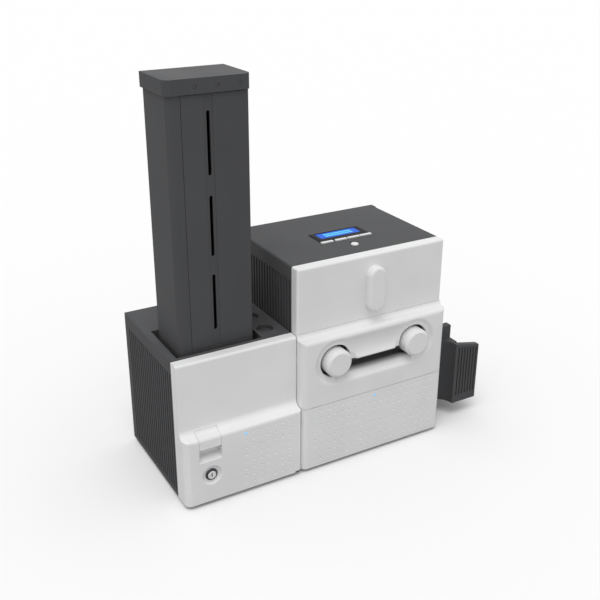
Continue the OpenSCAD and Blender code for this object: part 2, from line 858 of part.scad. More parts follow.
module loader_frame() placed() color(steel) {
    shelf = tower_low - shelf_t;
    difference() {
        union() {
            block([tower_x0, tower_y0 - shelf_front, shelf], [tower_x1, shelf_back, tower_low]);
            block([throat_x - throat_wall, throat_y[0] - throat_wall, path_low - shelf_t],
                [lx1 - wall - seam, throat_y[1] + throat_wall, path_high]);
            block([tower_x0, frame_front, loader_base_t], [tower_x1, frame_front + frame_t, shelf + over]);
            block([tower_x0, shelf_back - frame_t, loader_base_t], [tower_x1, shelf_back, shelf + over]);
        }
        block([throat_x, throat_y[0], path_low], [lx1, throat_y[1], tower_low + over]);
        block([pick_x - pick_window[0] / 2, card_y - pick_window[1] / 2, path_low - shelf_t - over],
            [pick_x + pick_window[0] / 2, card_y + pick_window[1] / 2, path_low + over]);
        bar_y(pick_x, frame_front - over, frame_front + frame_t + over, pick_z, axle_r + run_fit);
        bar_y(pick_x, shelf_back - frame_t - over, shelf_back + over, pick_z, axle_r + run_fit);
    }
    difference() {
        union() {
            block([pivot_x - arm_half, pivot_y, knuckle_mid() - arm_t / 2],
                [lx1 - wall - seam, frame_front + frame_t, knuckle_mid() + arm_t / 2]);
            bar_z(pivot_x, pivot_y, knuckle_mid() - arm_t / 2, knuckle_mid() + arm_t / 2, eye_r);
            block([tower_x1 - over, frame_front, loader_base_t],
                [lx1 - inner - rim_t, frame_front + frame_t, knuckle_mid() + arm_t / 2]);
        }
        bar_z(pivot_x, pivot_y, knuckle_cut[0], knuckle_cut[1], pin_r + pin_fit);
    }
}
function knuckle_mid() = (knuckle_cut[0] + knuckle_cut[1]) / 2;

module tower_shell() placed() color(dark) {
    top = tower_top - tower_wall;
    ix0 = tower_x0 + tower_wall;
    ix1 = tower_x1 - tower_wall;
    px = tower_x1 - tower_pivot_r;
    py = tower_y0 + tower_pivot_r;
    difference() {
        plan_block(tower_x0, tower_x1, tower_y0, tower_y1, tower_low, top, tower_r, tower_pivot_r);
        plan_block(ix0, ix1, tower_y0 + tower_wall, tower_y1 - tower_wall, tower_low - over, top + over,
            tower_r - tower_wall, tower_pivot_r - tower_wall);
        block([door_left, tower_y0 - over, door_low - seam],
            [tower_x1 + over, tower_y0 + tower_wall + over, top + over]);
        block([px - tower_pivot_r, tower_y0 - over, door_low - seam],
            [tower_x1 + over, py + tower_pivot_r + gap, top + over]);
        bar_z(px, py, door_low - seam - tower_pin_l / 2 - over, door_low, tower_pin_r + pin_fit);
    }
    for (y = [card_y - card_w / 4, card_y + card_w / 4]) {
        block([ix0 - over, y - guide_t / 2, tower_low],
            [slot_x - card_l / 2 - guide_clear, y + guide_t / 2, cap_low]);
        block([slot_x + card_l / 2 + guide_clear, y - guide_t / 2, tower_low + over],
            [ix1 + over, y + guide_t / 2, cap_low]);
    }
    for (x = [slot_x - card_l / 4, slot_x + card_l / 4])
        block([x - guide_t / 2, card_y + card_w / 2 + guide_clear, tower_low],
            [x + guide_t / 2, tower_y1 - tower_wall + over, cap_low]);
    difference() {
        union() {
            bar_z(px, py, door_low - seam - lug_h, door_low - seam, tower_pivot_r);
            bar_z(px, py, cap_low - seam, cap_low - seam + lug_h, tower_pivot_r);
            block([px + over, py, cap_low - seam],
                [tower_x1, py + tower_pivot_r + over, cap_low - seam + lug_h]);
        }
        bar_z(px, py, door_low - seam - tower_pin_l / 2 - over, top, tower_pin_r + pin_fit);
    }
}

module tower_cap() placed() color(dark) difference() {
    x0 = tower_x0 - cap_over;
    x1 = tower_x1 + cap_over;
    y0 = tower_y0 - cap_over;
    y1 = tower_y1 + cap_over;
    plan_block(x0, x1, y0, y1, cap_low, tower_top, tower_r + cap_over, tower_r + cap_over);
    plan_block(tower_x0 - cap_hold, tower_x1 + cap_hold, tower_y0 - cap_hold, tower_y1 + cap_hold,
        cap_low - over, tower_top - tower_wall, tower_r + cap_hold, tower_pivot_r + cap_hold);
    for (x = screw_x)
        bar_y(x, y0 - over, y0 + screw_head, screw_z, screw_r + cap_hold);
}

module cap_screws() placed() color(steel) for (x = screw_x)
    difference() {
        bar_y(x, tower_y0 - cap_over + cap_hold, tower_y0 - cap_over + screw_head, screw_z, screw_r);
        bar_y(x, tower_y0 - cap_over - over, tower_y0 - cap_over + cap_hold * 2, screw_z, screw_drive);
    }

module pick_motor() placed() color([0.25, 0.25, 0.27]) difference() {
    block([pick_x - motor_size.x / 2, shelf_back, pick_z - motor_size.z / 2],
        [pick_x + motor_size.x / 2, shelf_back + motor_size.y, pick_z + motor_size.z / 2]);
    bar_y(pick_x, shelf_back - over, shelf_back + motor_size.y / 2, pick_z, axle_r + run_fit);
}

// Closed loop of equal radius round the outer rollers' pulleys and the motor's
module loop_outline(r) hull()
    for (p = [[edge_roller_x, roller_z], [motor_x, motor_z], [printer_w - edge_roller_x, roller_z]])
        translate(p) circle(r);
module drive_belt() placed() color(rubber) along_y(pulley_y, pulley_y + pulley_w) difference() {
    loop_outline(pulley_r + gap + belt_t);
    loop_outline(pulley_r + gap);
}

// Lid with the display and its keys

module top_cover() placed() color(dark) difference() {
    union() {
        along_y(panel_d, hinge_y - ear_d + hinge_r - gap) difference() {
            lid_outline(0);
            lid_outline(wall);
        }
        block([ear_w + gap, panel_d + over, printer_h - wall], [printer_w - ear_w - gap, hinge_y, printer_h]);
        bar_x(ear_w + gap, printer_w - ear_w - gap, hinge_y, hinge_z, hinge_r);
        block([inner, panel_d, printer_h - lid_rib], [printer_w - inner, panel_d + wall, printer_h - over]);
    }
    block([bezel_at.x - gap, bezel_at.y - gap, printer_h - bezel_sink],
        [bezel_at.x + bezel_size.x + gap, bezel_at.y + bezel_size.y + gap, printer_h + over]);
    block([lcd_at.x - gap, lcd_at.y - gap, printer_h - wall - over],
        [lcd_at.x + lcd_size.x + gap, lcd_at.y + lcd_size.y + gap, printer_h + over]);
    for (x = key_row)
        block([x - gap, key_y - gap, printer_h - wall - over],
            [x + key_size.x + gap, key_y + key_size.y + gap, printer_h + over]);
    bar_z(nav_at.x, nav_at.y, printer_h - wall - over, printer_h + over, nav_r + gap);
    block([nav_at.x - nav_notch.x / 2, nav_at.y, printer_h - bezel_sink],
        [nav_at.x + nav_notch.x / 2, nav_at.y + nav_notch.y, printer_h + over]);
    bar_x(0, lid_pin_in + lid_pin_l + over, hinge_y, hinge_z, pin_r + run_fit);
    bar_x(printer_w - lid_pin_in - lid_pin_l - over, printer_w, hinge_y, hinge_z, pin_r + run_fit);
}
module lid_outline(t) {
    r = edge_r - (t > 0 ? edge_r / 2 : 0);
    low = lid_z - (t > 0 ? over : 0);
    translate([t, low]) square([printer_w - t * 2, printer_h - t - r - low]);
    translate([t + r, printer_h - t - r - over]) square([printer_w - t * 2 - r * 2, r + over]);
    for (x = [t + r, printer_w - t - r])
        translate([x, printer_h - t - r]) circle(r);
}

module upper_front_panel() placed() color(pale) difference() {
    intersection() {
        plan_block(0, printer_w, 0, panel_d, ledge_z + seam, printer_h, panel_edge_r, panel_edge_r);
        along_x(0, printer_w) {
            translate([0, ledge_z]) square([panel_d, printer_h - ledge_z - panel_edge_r]);
            translate([panel_edge_r, ledge_z]) square([panel_d - panel_edge_r, printer_h - ledge_z]);
            translate([panel_edge_r, printer_h - panel_edge_r]) circle(panel_edge_r);
        }
        along_y(0, panel_d) union() {
            translate([0, ledge_z]) square([printer_w, printer_h - ledge_z - edge_r]);
            translate([edge_r, ledge_z]) square([printer_w - edge_r * 2, printer_h - ledge_z]);
            for (x = [edge_r, printer_w - edge_r])
                translate([x, printer_h - edge_r]) circle(edge_r);
        }
    }
    block([wall, wall, ledge_z - over], [printer_w - wall, panel_d + over, printer_h - wall]);
    block([cap_x - port_hole.x / 2, -over, cap_z - port_hole.y / 2],
        [cap_x + port_hole.x / 2, wall + over, cap_z + port_hole.y / 2]);
}

module display_bezel() placed() color([0.05, 0.05, 0.06]) difference() {
    block([bezel_at.x, bezel_at.y, printer_h - bezel_sink],
        [bezel_at.x + bezel_size.x, bezel_at.y + bezel_size.y, printer_h + bezel_proud]);
    block([lcd_at.x, lcd_at.y, printer_h - wall], [lcd_at.x + lcd_size.x, lcd_at.y + lcd_size.y,
        printer_h + bezel_proud + over]);
}

module display_panel() placed() color([0.1, 0.3, 0.9])
    block([lcd_at.x, lcd_at.y, printer_h + bezel_proud / 2 - lcd_t],
        [lcd_at.x + lcd_size.x, lcd_at.y + lcd_size.y, printer_h + bezel_proud / 2]);

module usb_socket() placed() color(steel) difference() {
    y0 = wall;
    union() {
        block([cap_x - socket_size.x / 2, y0, cap_z - socket_size.z / 2],
            [cap_x + socket_size.x / 2, panel_d, cap_z + socket_size.z / 2]);
        block([cap_x - socket_flange.x / 2, y0, cap_z - socket_flange.z / 2],
            [cap_x + socket_flange.x / 2, y0 + socket_flange.y, cap_z + socket_flange.z / 2]);
    }
    block([cap_x - socket_size.x / 2 + socket_wall, y0 - over, cap_z - socket_size.z / 2 + socket_wall],
        [cap_x + socket_size.x / 2 - socket_wall, panel_d - over, cap_z + socket_size.z / 2 - socket_wall]);
}

module menu_key(i) placed() color(pale) {
    under = printer_h - wall - gap / 2;
    block([key_row[i], key_y, under], [key_row[i] + key_size.x, key_y + key_size.y, printer_h + key_proud]);
    block([key_row[i], key_y - key_flange, under - key_flange],
        [key_row[i] + key_size.x, key_y + key_size.y + key_flange, under]);
}
module menu_key_1() menu_key(0);
module menu_key_2() menu_key(1);
module menu_key_3() menu_key(2);
module menu_key_4() menu_key(3);

module nav_button() placed() color(pale) {
    under = printer_h - wall - gap / 2;
    translate([nav_at.x, nav_at.y, 0]) rotate_extrude() {
        translate([0, under]) square([nav_r, printer_h + key_proud - nav_round - under]);
        translate([0, under]) square([nav_r - nav_round, printer_h + key_proud - under]);
        translate([nav_r - nav_round, printer_h + key_proud - nav_round]) circle(nav_round);
        translate([0, under - key_flange]) square([nav_r + key_flange, key_flange]);
    }
}

module port_cap() placed() color(pale) translate([cap_x, 0, cap_z]) {
    difference() {
        soft_stadium(cap_w, cap_l, cap_d, cap_edge);
        translate([0, over, 0]) soft_stadium(cap_w - cap_wall * 2, cap_l - cap_wall * 2,
            cap_d - cap_wall + over, cap_edge - cap_wall);
    }
    translate([-cap_prong.x / 2, -cap_d + cap_wall / 2, -cap_prong.z / 2])
        cube([cap_prong.x, cap_d - cap_wall / 2 + wall + cap_prong.y, cap_prong.z]);
}

// Ribbon drawer

module drawer_front() placed() color(pale) difference() {
    left = mid_x - knob_x;
    right = mid_x + knob_x;
    face = -front_step;
    union() {
        difference() {
            intersection() {
                plan_block(0, printer_w, face, panel_d, drawer_z, ledge_z, corner_r, corner_r);
                along_x(0, printer_w) ledge_outline(drawer_z, shelf_z, ledge_z, cove_r, brow_r, 0);
            }
            block([wall, wall + face, drawer_z + wall], [printer_w - wall, panel_d + over, shelf_z - brow_r]);
            block([wall, brow_r + face, drawer_z + wall], [printer_w - wall, panel_d + over, shelf_z - wall]);
            block([wall, wall, shelf_z - wall - over], [printer_w - wall, panel_d + over, ledge_z - wall]);
        }
        for (x = [left, right]) {
            bar_y(x, face + over, face + dish_depth + pocket_back, knob_z, dish_r - over);
            bar_y(x, face + over, face + well_depth + pocket_back, knob_z, well_r + pocket_back);
        }
        along_x(left, right) polygon([[face + over, knob_z - dish_r],
            [face + dish_depth + pocket_back, knob_z - dish_r],
            [face + slot_depth + pocket_back, slot_low - pocket_back * 2],
            [face + slot_depth + pocket_back, lip_z + pocket_back],
            [face + lip_dip + pocket_back, lip_z + pocket_back],
            [face + lip_dip + pocket_back, shelf_z - brow_r], [face + over, shelf_z - brow_r]]);
    }
    for (x = [left, right]) {
        cone_y(x, face, face + dish_depth, knob_z, dish_r, dish_floor_r);
        bar_y(x, face - over, face + well_depth, knob_z, well_r);
        bar_y(x, face, face + well_depth + pocket_back + over, knob_z, stem_r + gap);
    }
    along_x(left, right) polygon([[face - over, knob_z - dish_r], [face, knob_z - dish_r],
        [face + dish_depth, knob_z - dish_floor_r], [face + slot_depth, slot_low],
        [face + slot_depth, lip_z - gap], [face - over, lip_z]]);
    intersection() {
        bar_x(left, right, face - lip_r + lip_dip, (lip_z + knob_z + dish_r) / 2, lip_r);
        block([left, face - over, lip_z], [right, face + lip_dip + over, knob_z + dish_r]);
    }
}

module drawer_tray() placed() color([0.45, 0.46, 0.48]) {
    x0 = tray_side;
    x1 = printer_w - tray_side;
    difference() {
        union() {
            block([inner + tray_t, panel_d, tray_low],
                [printer_w - inner - tray_t, panel_d + tray_t, shelf_z - wall]);
            block([x0, panel_d, tray_gate], [x0 + tray_t, tray_back, tray_top]);
            block([x1 - tray_t, panel_d, tray_gate], [x1, tray_back, tray_top]);
            block([x0, panel_d, tray_low], [x1, frame_front, tray_low + tray_t]);
            block([x0, tray_back - tray_t, tray_gate], [x1, tray_back, tray_top]);
            block([x0 - runner.x, frame_front, runner_z], [x0 + over, tray_back, runner_z + runner.y]);
            block([x1 - over, frame_front, runner_z], [x1 + runner.x, tray_back, runner_z + runner.y]);
        }
        block([mid_x - head_notch / 2, tray_back - tray_t - over, tray_gate - over],
            [mid_x + head_notch / 2, tray_back + over, tray_top + over]);
        for (x = [supply_x, takeup_x])
            bar_y(x, panel_d - over, tray_back + over, spool_z, spool_r + run_fit);
    }
}

module ribbon_film() placed() color([0.2, 0.2, 0.25]) {
    a = supply_x + supply_r + gap;
    b = takeup_x - takeup_r - gap;
    along_y(card_y - film_w / 2, card_y + film_w / 2) polygon([
        [a, spool_z], [mid_x - film_dip, film_z], [mid_x + film_dip, film_z], [b, spool_z],
        [b - film_t, spool_z], [mid_x + film_dip - film_t, film_z + film_t],
        [mid_x - film_dip + film_t, film_z + film_t], [a + film_t, spool_z]]);
}

module release_knob(x) placed() color(pale) translate([x, -front_step, knob_z]) rotate([-90, 0, 0])
    rotate_extrude() {
        translate([0, -knob_proud]) square([knob_face_r, knob_bevel + over]);
        polygon([[0, -knob_proud], [knob_face_r, -knob_proud], [knob_r, knob_bevel - knob_proud],
            [knob_r, knob_back], [0, knob_back]]);
        square([stem_r, well_depth + pocket_back + gap + stem_head]);
        translate([0, well_depth + pocket_back + gap]) square([stem_head_r, stem_head]);
    }
module release_knob_left() release_knob(mid_x - knob_x);
module release_knob_right() release_knob(mid_x + knob_x);

module spool(x, r) {
    bar_y(x, panel_d + gap, tray_back - gap, spool_z, spool_r);
    bar_y(x, panel_d + tray_t + gap, tray_back - tray_t - gap, spool_z, core_r);
    bar_y(x, card_y - film_w / 2, card_y + film_w / 2, spool_z, r);
}
module supply_spool() placed() color([0.15, 0.15, 0.2]) spool(supply_x, supply_r);
module takeup_spool() placed() color([0.15, 0.15, 0.2]) spool(takeup_x, takeup_r);

// Print head

module head_bracket() placed() color(steel) {
    block([mid_x - head_w / 2, card_y - roller_w / 2, head_mid],
        [mid_x + head_w / 2, card_y + roller_w / 2, head_high]);
    for (s = [-1, 1])
        bar_z(mid_x, card_y + s * rod_gap / 2, head_high - over, rod_top, rod_r);
}

module thermal_head() placed() color([0.2, 0.2, 0.22])
    along_y(card_y - roller_w / 2, card_y + roller_w / 2) polygon([
        [mid_x - head_w / 2, head_mid], [mid_x + head_w / 2, head_mid],
        [mid_x + head_w / 2, head_low + head_w / 2], [mid_x + head_tip, head_low],
        [mid_x - head_tip, head_low], [mid_x - head_w / 2, head_low + head_w / 2]]);

// Rollers

module feed_roller(x) {
    bar_y(x, card_y - roller_w / 2, card_y + roller_w / 2, roller_z, roller_r);
    bar_y(x, frame_front - over, pulley_y + pulley_w, roller_z, axle_r);
    bar_y(x, pulley_y, pulley_y + pulley_w, roller_z, pulley_r);
}
module entry_roller() placed() color(rubber) feed_roller(edge_roller_x);
module platen_roller() placed() color(rubber) feed_roller(mid_x);
module exit_roller() placed() color(rubber) feed_roller(printer_w - edge_roller_x);

module pinch_roller(x) {
    bar_y(x, card_y - roller_w / 2, card_y + roller_w / 2, pinch_z, pinch_r);
    bar_y(x, frame_front - over, frame_back + frame_t + over, pinch_z, pinch_axle_r);
}
module entry_pinch_roller() placed() color(rubber) pinch_roller(edge_roller_x);
module exit_pinch_roller() placed() color(rubber) pinch_roller(printer_w - edge_roller_x);

module motor_pulley() placed() color(steel) {
    bar_y(motor_x, pulley_y, pulley_y + pulley_w, motor_z, pulley_r);
    bar_y(motor_x, frame_back - motor_size.y / 2 + over, pulley_y + pulley_w, motor_z, motor_shaft_r);
}

module fan_rotor() placed() color([0.1, 0.1, 0.11]) {
    back = body_d - wall;
    y1 = back - fan_strut - gap;
    y0 = back - fan_t + fan_inset;
    bar_y(fan_x, y0, y1, fan_z, fan_hub_r);
    bar_y(fan_x, y0, back - gap, fan_z, fan_axle_r);
    for (i = [0:fan_blades - 1])
        translate([fan_x, (y0 + y1) / 2, fan_z]) rotate([0, i * 360 / fan_blades, 0])
            rotate([fan_pitch, 0, 0]) translate([fan_hub_r - over, -fan_blade_t / 2, -fan_blade_w / 2])
                cube([fan_tip_r - fan_hub_r + over, fan_blade_t, fan_blade_w]);
}

// Loading module, moving parts

module door_outline(t) ledge_outline(t > 0 ? -over : seam, door_brow_z + door_brow_r,
    loader_h - loader_edge_r, door_cove_r, door_brow_r, t);

// Solid of the door, or of its cavity with t as the wall
module door_form(t) intersection() {
    plan_block(lx0 + t, t > 0 ? pivot_x : lx1, t - front_step, panel_d + (t > 0 ? over : 0),
        t > 0 ? -over : seam, loader_h - t, corner_r - t, door_pivot_r - t);
    along_x(lx0, lx1) union() {
        door_outline(t);
        translate([loader_edge_r, door_top_z]) square([panel_d - loader_edge_r + (t > 0 ? over : 0),
            loader_h - door_top_z - t]);
        translate([loader_edge_r, loader_h - loader_edge_r]) circle(loader_edge_r - t);
    }
}

module latch_zone(g) block([latch_x[0] + g, -front_step - over, latch_z[0] + g],
    [latch_x[1] - g, loader_back, latch_z[1] - g]);

module front_door() placed() color(pale) difference() {
    face = -front_step;
    union() {
        difference() {
            door_form(0);
            door_form(wall);
            block([pivot_x - over, pivot_y, -over], [lx1 + over, loader_back, door_brow_z - over]);
            block([pivot_x - door_pivot_r - over, face - over, -over],
                [lx1 + over, loader_back, knuckle_low]);
            latch_zone(0);
        }
        bar_z(pivot_x, pivot_y, knuckle_low, knuckle_top, door_pivot_r);
        block([latch_x[0] - finger_wall, face + over, finger_z - finger_wall],
            [latch_x[1] + finger_wall, face + finger_deep + finger_wall, latch_z[0] + finger_wall]);
        bar_y(lock_x, face + over, face + lock_boss, lock_z, lock_boss_r);
    }
    along_x(latch_x[0], latch_x[1]) polygon([[face - over, finger_z], [face, finger_z],
        [face + finger_deep, finger_z + finger_rise], [face + finger_deep, latch_z[0] + finger_wall + over],
        [face - over, latch_z[0] + finger_wall + over]]);
    cone_y(lock_x, face, face + lock_dish_depth, lock_z, lock_dish_r, lock_dish_floor);
    bar_y(lock_x, face, loader_back, lock_z, barrel_r + run_fit);
    block([pivot_x - door_pivot_r - over, pivot_y - arm_half - gap, knuckle_cut[0]],
        [lx1 + over, loader_back, knuckle_cut[1]]);
    bar_z(pivot_x, pivot_y, knuckle_cut[0], knuckle_cut[1], eye_r + gap);
    bar_z(pivot_x, pivot_y, -over, knuckle_top + over, pin_r + run_fit);
    bar_x(latch_x[0] - latch_pin_l - gap, latch_x[1] + latch_pin_l + gap, latch_pivot_y(), latch_pivot_z(),
        latch_pin_r + run_fit);
    difference() {
        dimple_field(door_dimple_x(), door_dimple_cols, face);
        bar_y(door_dimple_x(), face - dimple_ball, 0, led_z(), dimple_ball + over);
    }
    bar_y(door_dimple_x(), face - over, 0, led_z(), loader_led_r + pin_fit);
}
function door_dimple_x() = lx1 - door_dimple_in - (door_dimple_cols - 1) * dimple_pitch;

module loader_led() placed() color([0.6, 0.85, 1])
    bar_y(door_dimple_x(), -front_step - led_proud, led_depth - front_step, led_z(), loader_led_r);

// Middle of the cove's wall, where the latch turns
function latch_pivot_y() = -door_cove_r + (door_cove_r + wall / 2) * sin(latch_turn);
function latch_pivot_z() = door_top_z - (door_cove_r + wall / 2) * cos(latch_turn);

module door_latch() placed() color(pale) {
    mid = (latch_x[0] + latch_x[1]) / 2;
    y = latch_pivot_y();
    z = latch_pivot_z();
    intersection() {
        difference() {
            door_form(0);
            door_form(wall);
        }
        latch_zone(gap);
    }
    bar_x(latch_x[0] - latch_pin_l, latch_x[1] + latch_pin_l, y, z, latch_pin_r);
    block([mid - hook_w / 2, y, z - hook_t / 2], [mid + hook_w / 2, hook_end, z + hook_t / 2]);
    block([mid - hook_w / 2, hook_end - hook_t, z - hook_t / 2 - hook_drop],
        [mid + hook_w / 2, hook_end, z + hook_t / 2]);
}

module lock_ring() placed() color(steel) difference() {
    floor_y = lock_dish_depth - front_step;
    cone_y(lock_x, floor_y - lock_dish_depth / 2, floor_y, lock_z, lock_ring_r - lock_ring_taper,
        lock_ring_r);
    bar_y(lock_x, -front_step, 0, lock_z, barrel_r + run_fit);
}

module lock_barrel() placed() color(steel) {
    face = lock_dish_depth / 4 - front_step;
    difference() {
        bar_y(lock_x, face, barrel_back - front_step, lock_z, barrel_r);
        translate([lock_x - keyhole.x / 2, face - over, lock_z - keyhole.y / 2])
            cube([keyhole.x, keyhole.z + over, keyhole.y]);
    }
    translate([lock_x - cam_size.x / 2, barrel_back - front_step, lock_z - cam_below]) cube(cam_size);
}

module tower_door() placed() color(dark) {
    px = tower_x1 - tower_pivot_r;
    py = tower_y0 + tower_pivot_r;
    top = cap_low - seam * 2;
    x0 = door_left + seam;
    difference() {
        union() {
            block([x0, tower_y0, door_low], [px, tower_y0 + tower_wall, top]);
            bar_z(px, py, door_low, top, tower_pivot_r);
        }
        for (span = slot_spans) {
            for (z = [span[0] + slot_w / 2, span[1] - slot_w / 2])
                bar_y(slot_x, tower_y0 - over, tower_y0 + tower_wall + over, z, slot_w / 2);
            block([slot_x - slot_w / 2, tower_y0 - over, span[0] + slot_w / 2],
                [slot_x + slot_w / 2, tower_y0 + tower_wall + over, span[1] - slot_w / 2]);
        }
        block([slot_x - channel_w / 2, tower_y0 - over, door_low - over],
            [slot_x + channel_w / 2, tower_y0 + channel_depth, top + over]);
        bar_z(px, py, door_low - over, top + over, tower_pin_r + run_fit);
    }
    for (x = [slot_x - card_l / 4, slot_x + card_l / 4])
        block([x - guide_t / 2, tower_y0 + tower_wall, door_low],
            [x + guide_t / 2, card_y - card_w / 2 - guide_clear, top]);
}

module card_weight() placed() color([0.35, 0.36, 0.38]) difference() {
    block([slot_x - card_l / 2 + weight_clear, card_y - card_w / 2 + weight_clear, path_low],
        [slot_x + card_l / 2 - weight_clear, card_y + card_w / 2 - weight_clear, path_low + weight_h]);
    block([slot_x - card_l / 4, card_y - card_w / 4, path_low + weight_h - weight_dish],
        [slot_x + card_l / 4, card_y + card_w / 4, path_low + weight_h + over]);
}

module pick_roller() placed() color(rubber) {
    bar_y(pick_x, card_y - roller_w / 2, card_y + roller_w / 2, pick_z, pick_r);
    bar_y(pick_x, frame_front - over, pick_shaft_end, pick_z, axle_r);
}

printer_base();
left_cover();
right_cover();
rear_cover();
lower_front_panel();
printer_led();
printer_frame();
drive_motor();
main_board();
power_supply();
fan_frame();
power_inlet();
hinge_pins();
feet();
output_bin();
loader_base();
loader_cover();
loader_deck();
loader_frame();
tower_shell();
tower_cap();
cap_screws();
pick_motor();
drive_belt();
top_cover();
upper_front_panel();
display_bezel();
display_panel();
usb_socket();
menu_key_1();
menu_key_2();
menu_key_3();
menu_key_4();
nav_button();
port_cap();
drawer_front();
drawer_tray();
ribbon_film();
release_knob_left();
release_knob_right();
supply_spool();
takeup_spool();
head_bracket();
thermal_head();
entry_roller();
platen_roller();
exit_roller();
entry_pinch_roller();
exit_pinch_roller();
motor_pulley();
fan_rotor();
power_switch();
front_door();
door_latch();
lock_ring();
lock_barrel();
loader_led();
tower_door();
card_weight();
pick_roller();
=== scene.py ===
import json
import math

import bpy
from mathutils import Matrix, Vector


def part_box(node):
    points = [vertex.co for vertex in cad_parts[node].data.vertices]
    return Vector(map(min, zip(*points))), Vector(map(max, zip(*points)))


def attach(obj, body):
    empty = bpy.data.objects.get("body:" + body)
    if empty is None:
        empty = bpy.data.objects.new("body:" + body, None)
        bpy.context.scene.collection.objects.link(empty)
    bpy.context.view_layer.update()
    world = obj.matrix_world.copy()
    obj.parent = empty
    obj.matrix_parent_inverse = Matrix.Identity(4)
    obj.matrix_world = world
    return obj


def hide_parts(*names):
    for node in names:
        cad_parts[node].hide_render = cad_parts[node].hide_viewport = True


bl_info = {
    "name": "Card printer looks",
    "version": (1, 0, 0),
    "blender": (4, 5, 0),
    "location": "View3D > Sidebar > Card printer",
    "description": "Dresses the frame of a desktop id card printer with finished pieces",
    "category": "Object",
}

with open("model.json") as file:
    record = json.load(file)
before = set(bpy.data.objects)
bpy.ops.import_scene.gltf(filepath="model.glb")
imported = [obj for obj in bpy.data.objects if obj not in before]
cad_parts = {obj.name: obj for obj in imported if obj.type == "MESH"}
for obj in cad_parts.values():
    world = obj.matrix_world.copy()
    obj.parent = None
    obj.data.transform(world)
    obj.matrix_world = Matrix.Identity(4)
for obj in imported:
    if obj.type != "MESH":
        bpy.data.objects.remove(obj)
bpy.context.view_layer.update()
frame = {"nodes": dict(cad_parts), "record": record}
NODES = frame["nodes"]
BODY_OF = {node: body for body, nodes in frame["record"]["behaviour"]["bodies"].items() for node in nodes}
MM = 0.001
FRONT = Vector((0, -1, 0))
WHITE_LINEAR = (1.0, 1.0, 1.0, 1.0)
# Specks of dust, and the yellow, magenta, cyan and black panels of the dye film
DUST = (0.42, 0.41, 0.40, 1.0)
RIBBON_PANELS = ((0.42, 0.34, 0.02, 1.0), (0.34, 0.02, 0.12, 1.0), (0.02, 0.16, 0.34, 1.0),
                 (0.012, 0.012, 0.014, 1.0))
RIBBON_SETS_PER_METRE = 14.0
# Scales of the textures that several finishes share
GRAIN_SCALE = 900.0
MOTTLE_SCALE = 14.0
LINE_SCALE = 1800.0
# Range in which most values of a noise texture lie
NOISE_LOW = 0.3
NOISE_HIGH = 0.7
# Share of the plastic's brightness that is left where painted shade darkens the drawer front's slot and the
# knobs' wells
PAINTED_POCKET_SHADE = 0.06


def length(title, text, value):
    """Property that holds a length in metres."""
    return bpy.props.FloatProperty(
        name=title, description=text, default=value, min=0.0, precision=5, unit="LENGTH")


def colour(title, text, value):
    """Property that holds a linear colour."""
    return bpy.props.FloatVectorProperty(
        name=title, description=text, default=value, size=3, min=0.0, max=1.0, subtype="COLOR")


def amount(title, text, value):
    """Property that holds a plain number, such as a share, a strength or degrees."""
    return bpy.props.FloatProperty(name=title, description=text, default=value, min=0.0)


def whole(title, text, value):
    """Property that holds a whole number."""
    return bpy.props.IntProperty(name=title, description=text, default=value, min=1)


class PrinterSizes(bpy.types.PropertyGroup):
    """Sizes and counts of the detail that the finished pieces add"""
    edge: length("Edge rounding", "Rounding of the covers' edges", 0.6 * MM)
    fine_edge: length("Fine edge rounding", "Rounding of small parts' edges", 0.25 * MM)
    key_edge: length("Key rounding", "Rounding of the keys' edges", 0.5 * MM)
    voxel: length("Handle fineness", "Cell size of the softly moulded drawer front", 0.6 * MM)
    knob_slant: length("Knob slant", "Size of the slanted edge round a release knob's face", 4.6 * MM)
    knob_round: length("Knob rounding", "Rounding at both sides of that slanted edge", 1.4 * MM)
    knob_body: length("Knob body", "Depth of a release knob's thick part", 24 * MM)
    knob_tip: length("Face rounding", "Rounding of the edge of the knob's flat face", 0.5 * MM)
    dish_inner: length(
        "Dish inside", "Distance from the knobs' line at which the soft dish edge begins", 30 * MM)
    dish_outer: length(
        "Dish outside", "Distance from the knobs' line at which the soft dish edge ends", 42 * MM)
    dish_reach: length(
        "Dish reach", "Depth behind the drawer's face to which that edge is softened", 7 * MM)
    dish_passes: whole("Dish passes", "How often that edge is smoothed", 50)
    kept_faces: amount("Kept faces", "Share of the drawer front's faces that is kept", 0.25)
    # The next three sizes place the painted shade that darkens the drawer front's slot and the knobs'
    # wells.
    painted_shade_start: length(
        "Pocket start", "Depth behind the drawer's face at which its slot is dark", 17 * MM)
    painted_shade_fade: length("Pocket fade", "Depth over which the slot turns dark", 9 * MM)
    painted_shade_reach: length(
        "Pocket reach", "Distance from the knobs' axes to which their wells are dark", 27 * MM)
    cap_round: length("Port cap rounding", "Rounding of the port cap's edges", 0.4 * MM)
    stem: length("Stem radius", "Radius of a release knob's stem", 6 * MM)
    stem_head: length("Stem head radius", "Radius of the stem's snap head", 9 * MM)
    stem_head_depth: length("Stem head depth", "Depth of the stem's snap head", 2.4 * MM)
    notch_reach: length(
        "Notch reach", "Distance from the navigation button to which its notch is dark", 13 * MM)
    lamp_round: amount("Light rounding", "Share of a status light's radius that is rounded", 0.2)
    cell_columns: whole("Display columns", "Cells in one row of the display", 14)
    cell_rows: whole("Display rows", "Rows of cells on the display", 2)
    cell_thick: length("Display cell thickness", "Thickness of the display's cells", 0.15 * MM)
    cell_gap: length("Display cell gap", "Gap between the display's cells", 0.8 * MM)
    cell_height: length("Display cell height", "Height of one cell of the display", 5 * MM)
    cell_side: length("Display side", "Bare screen at each end of the rows of cells", 11 * MM)
    cell_margin: length("Display margin", "Bare screen before and behind the rows of cells", 4 * MM)


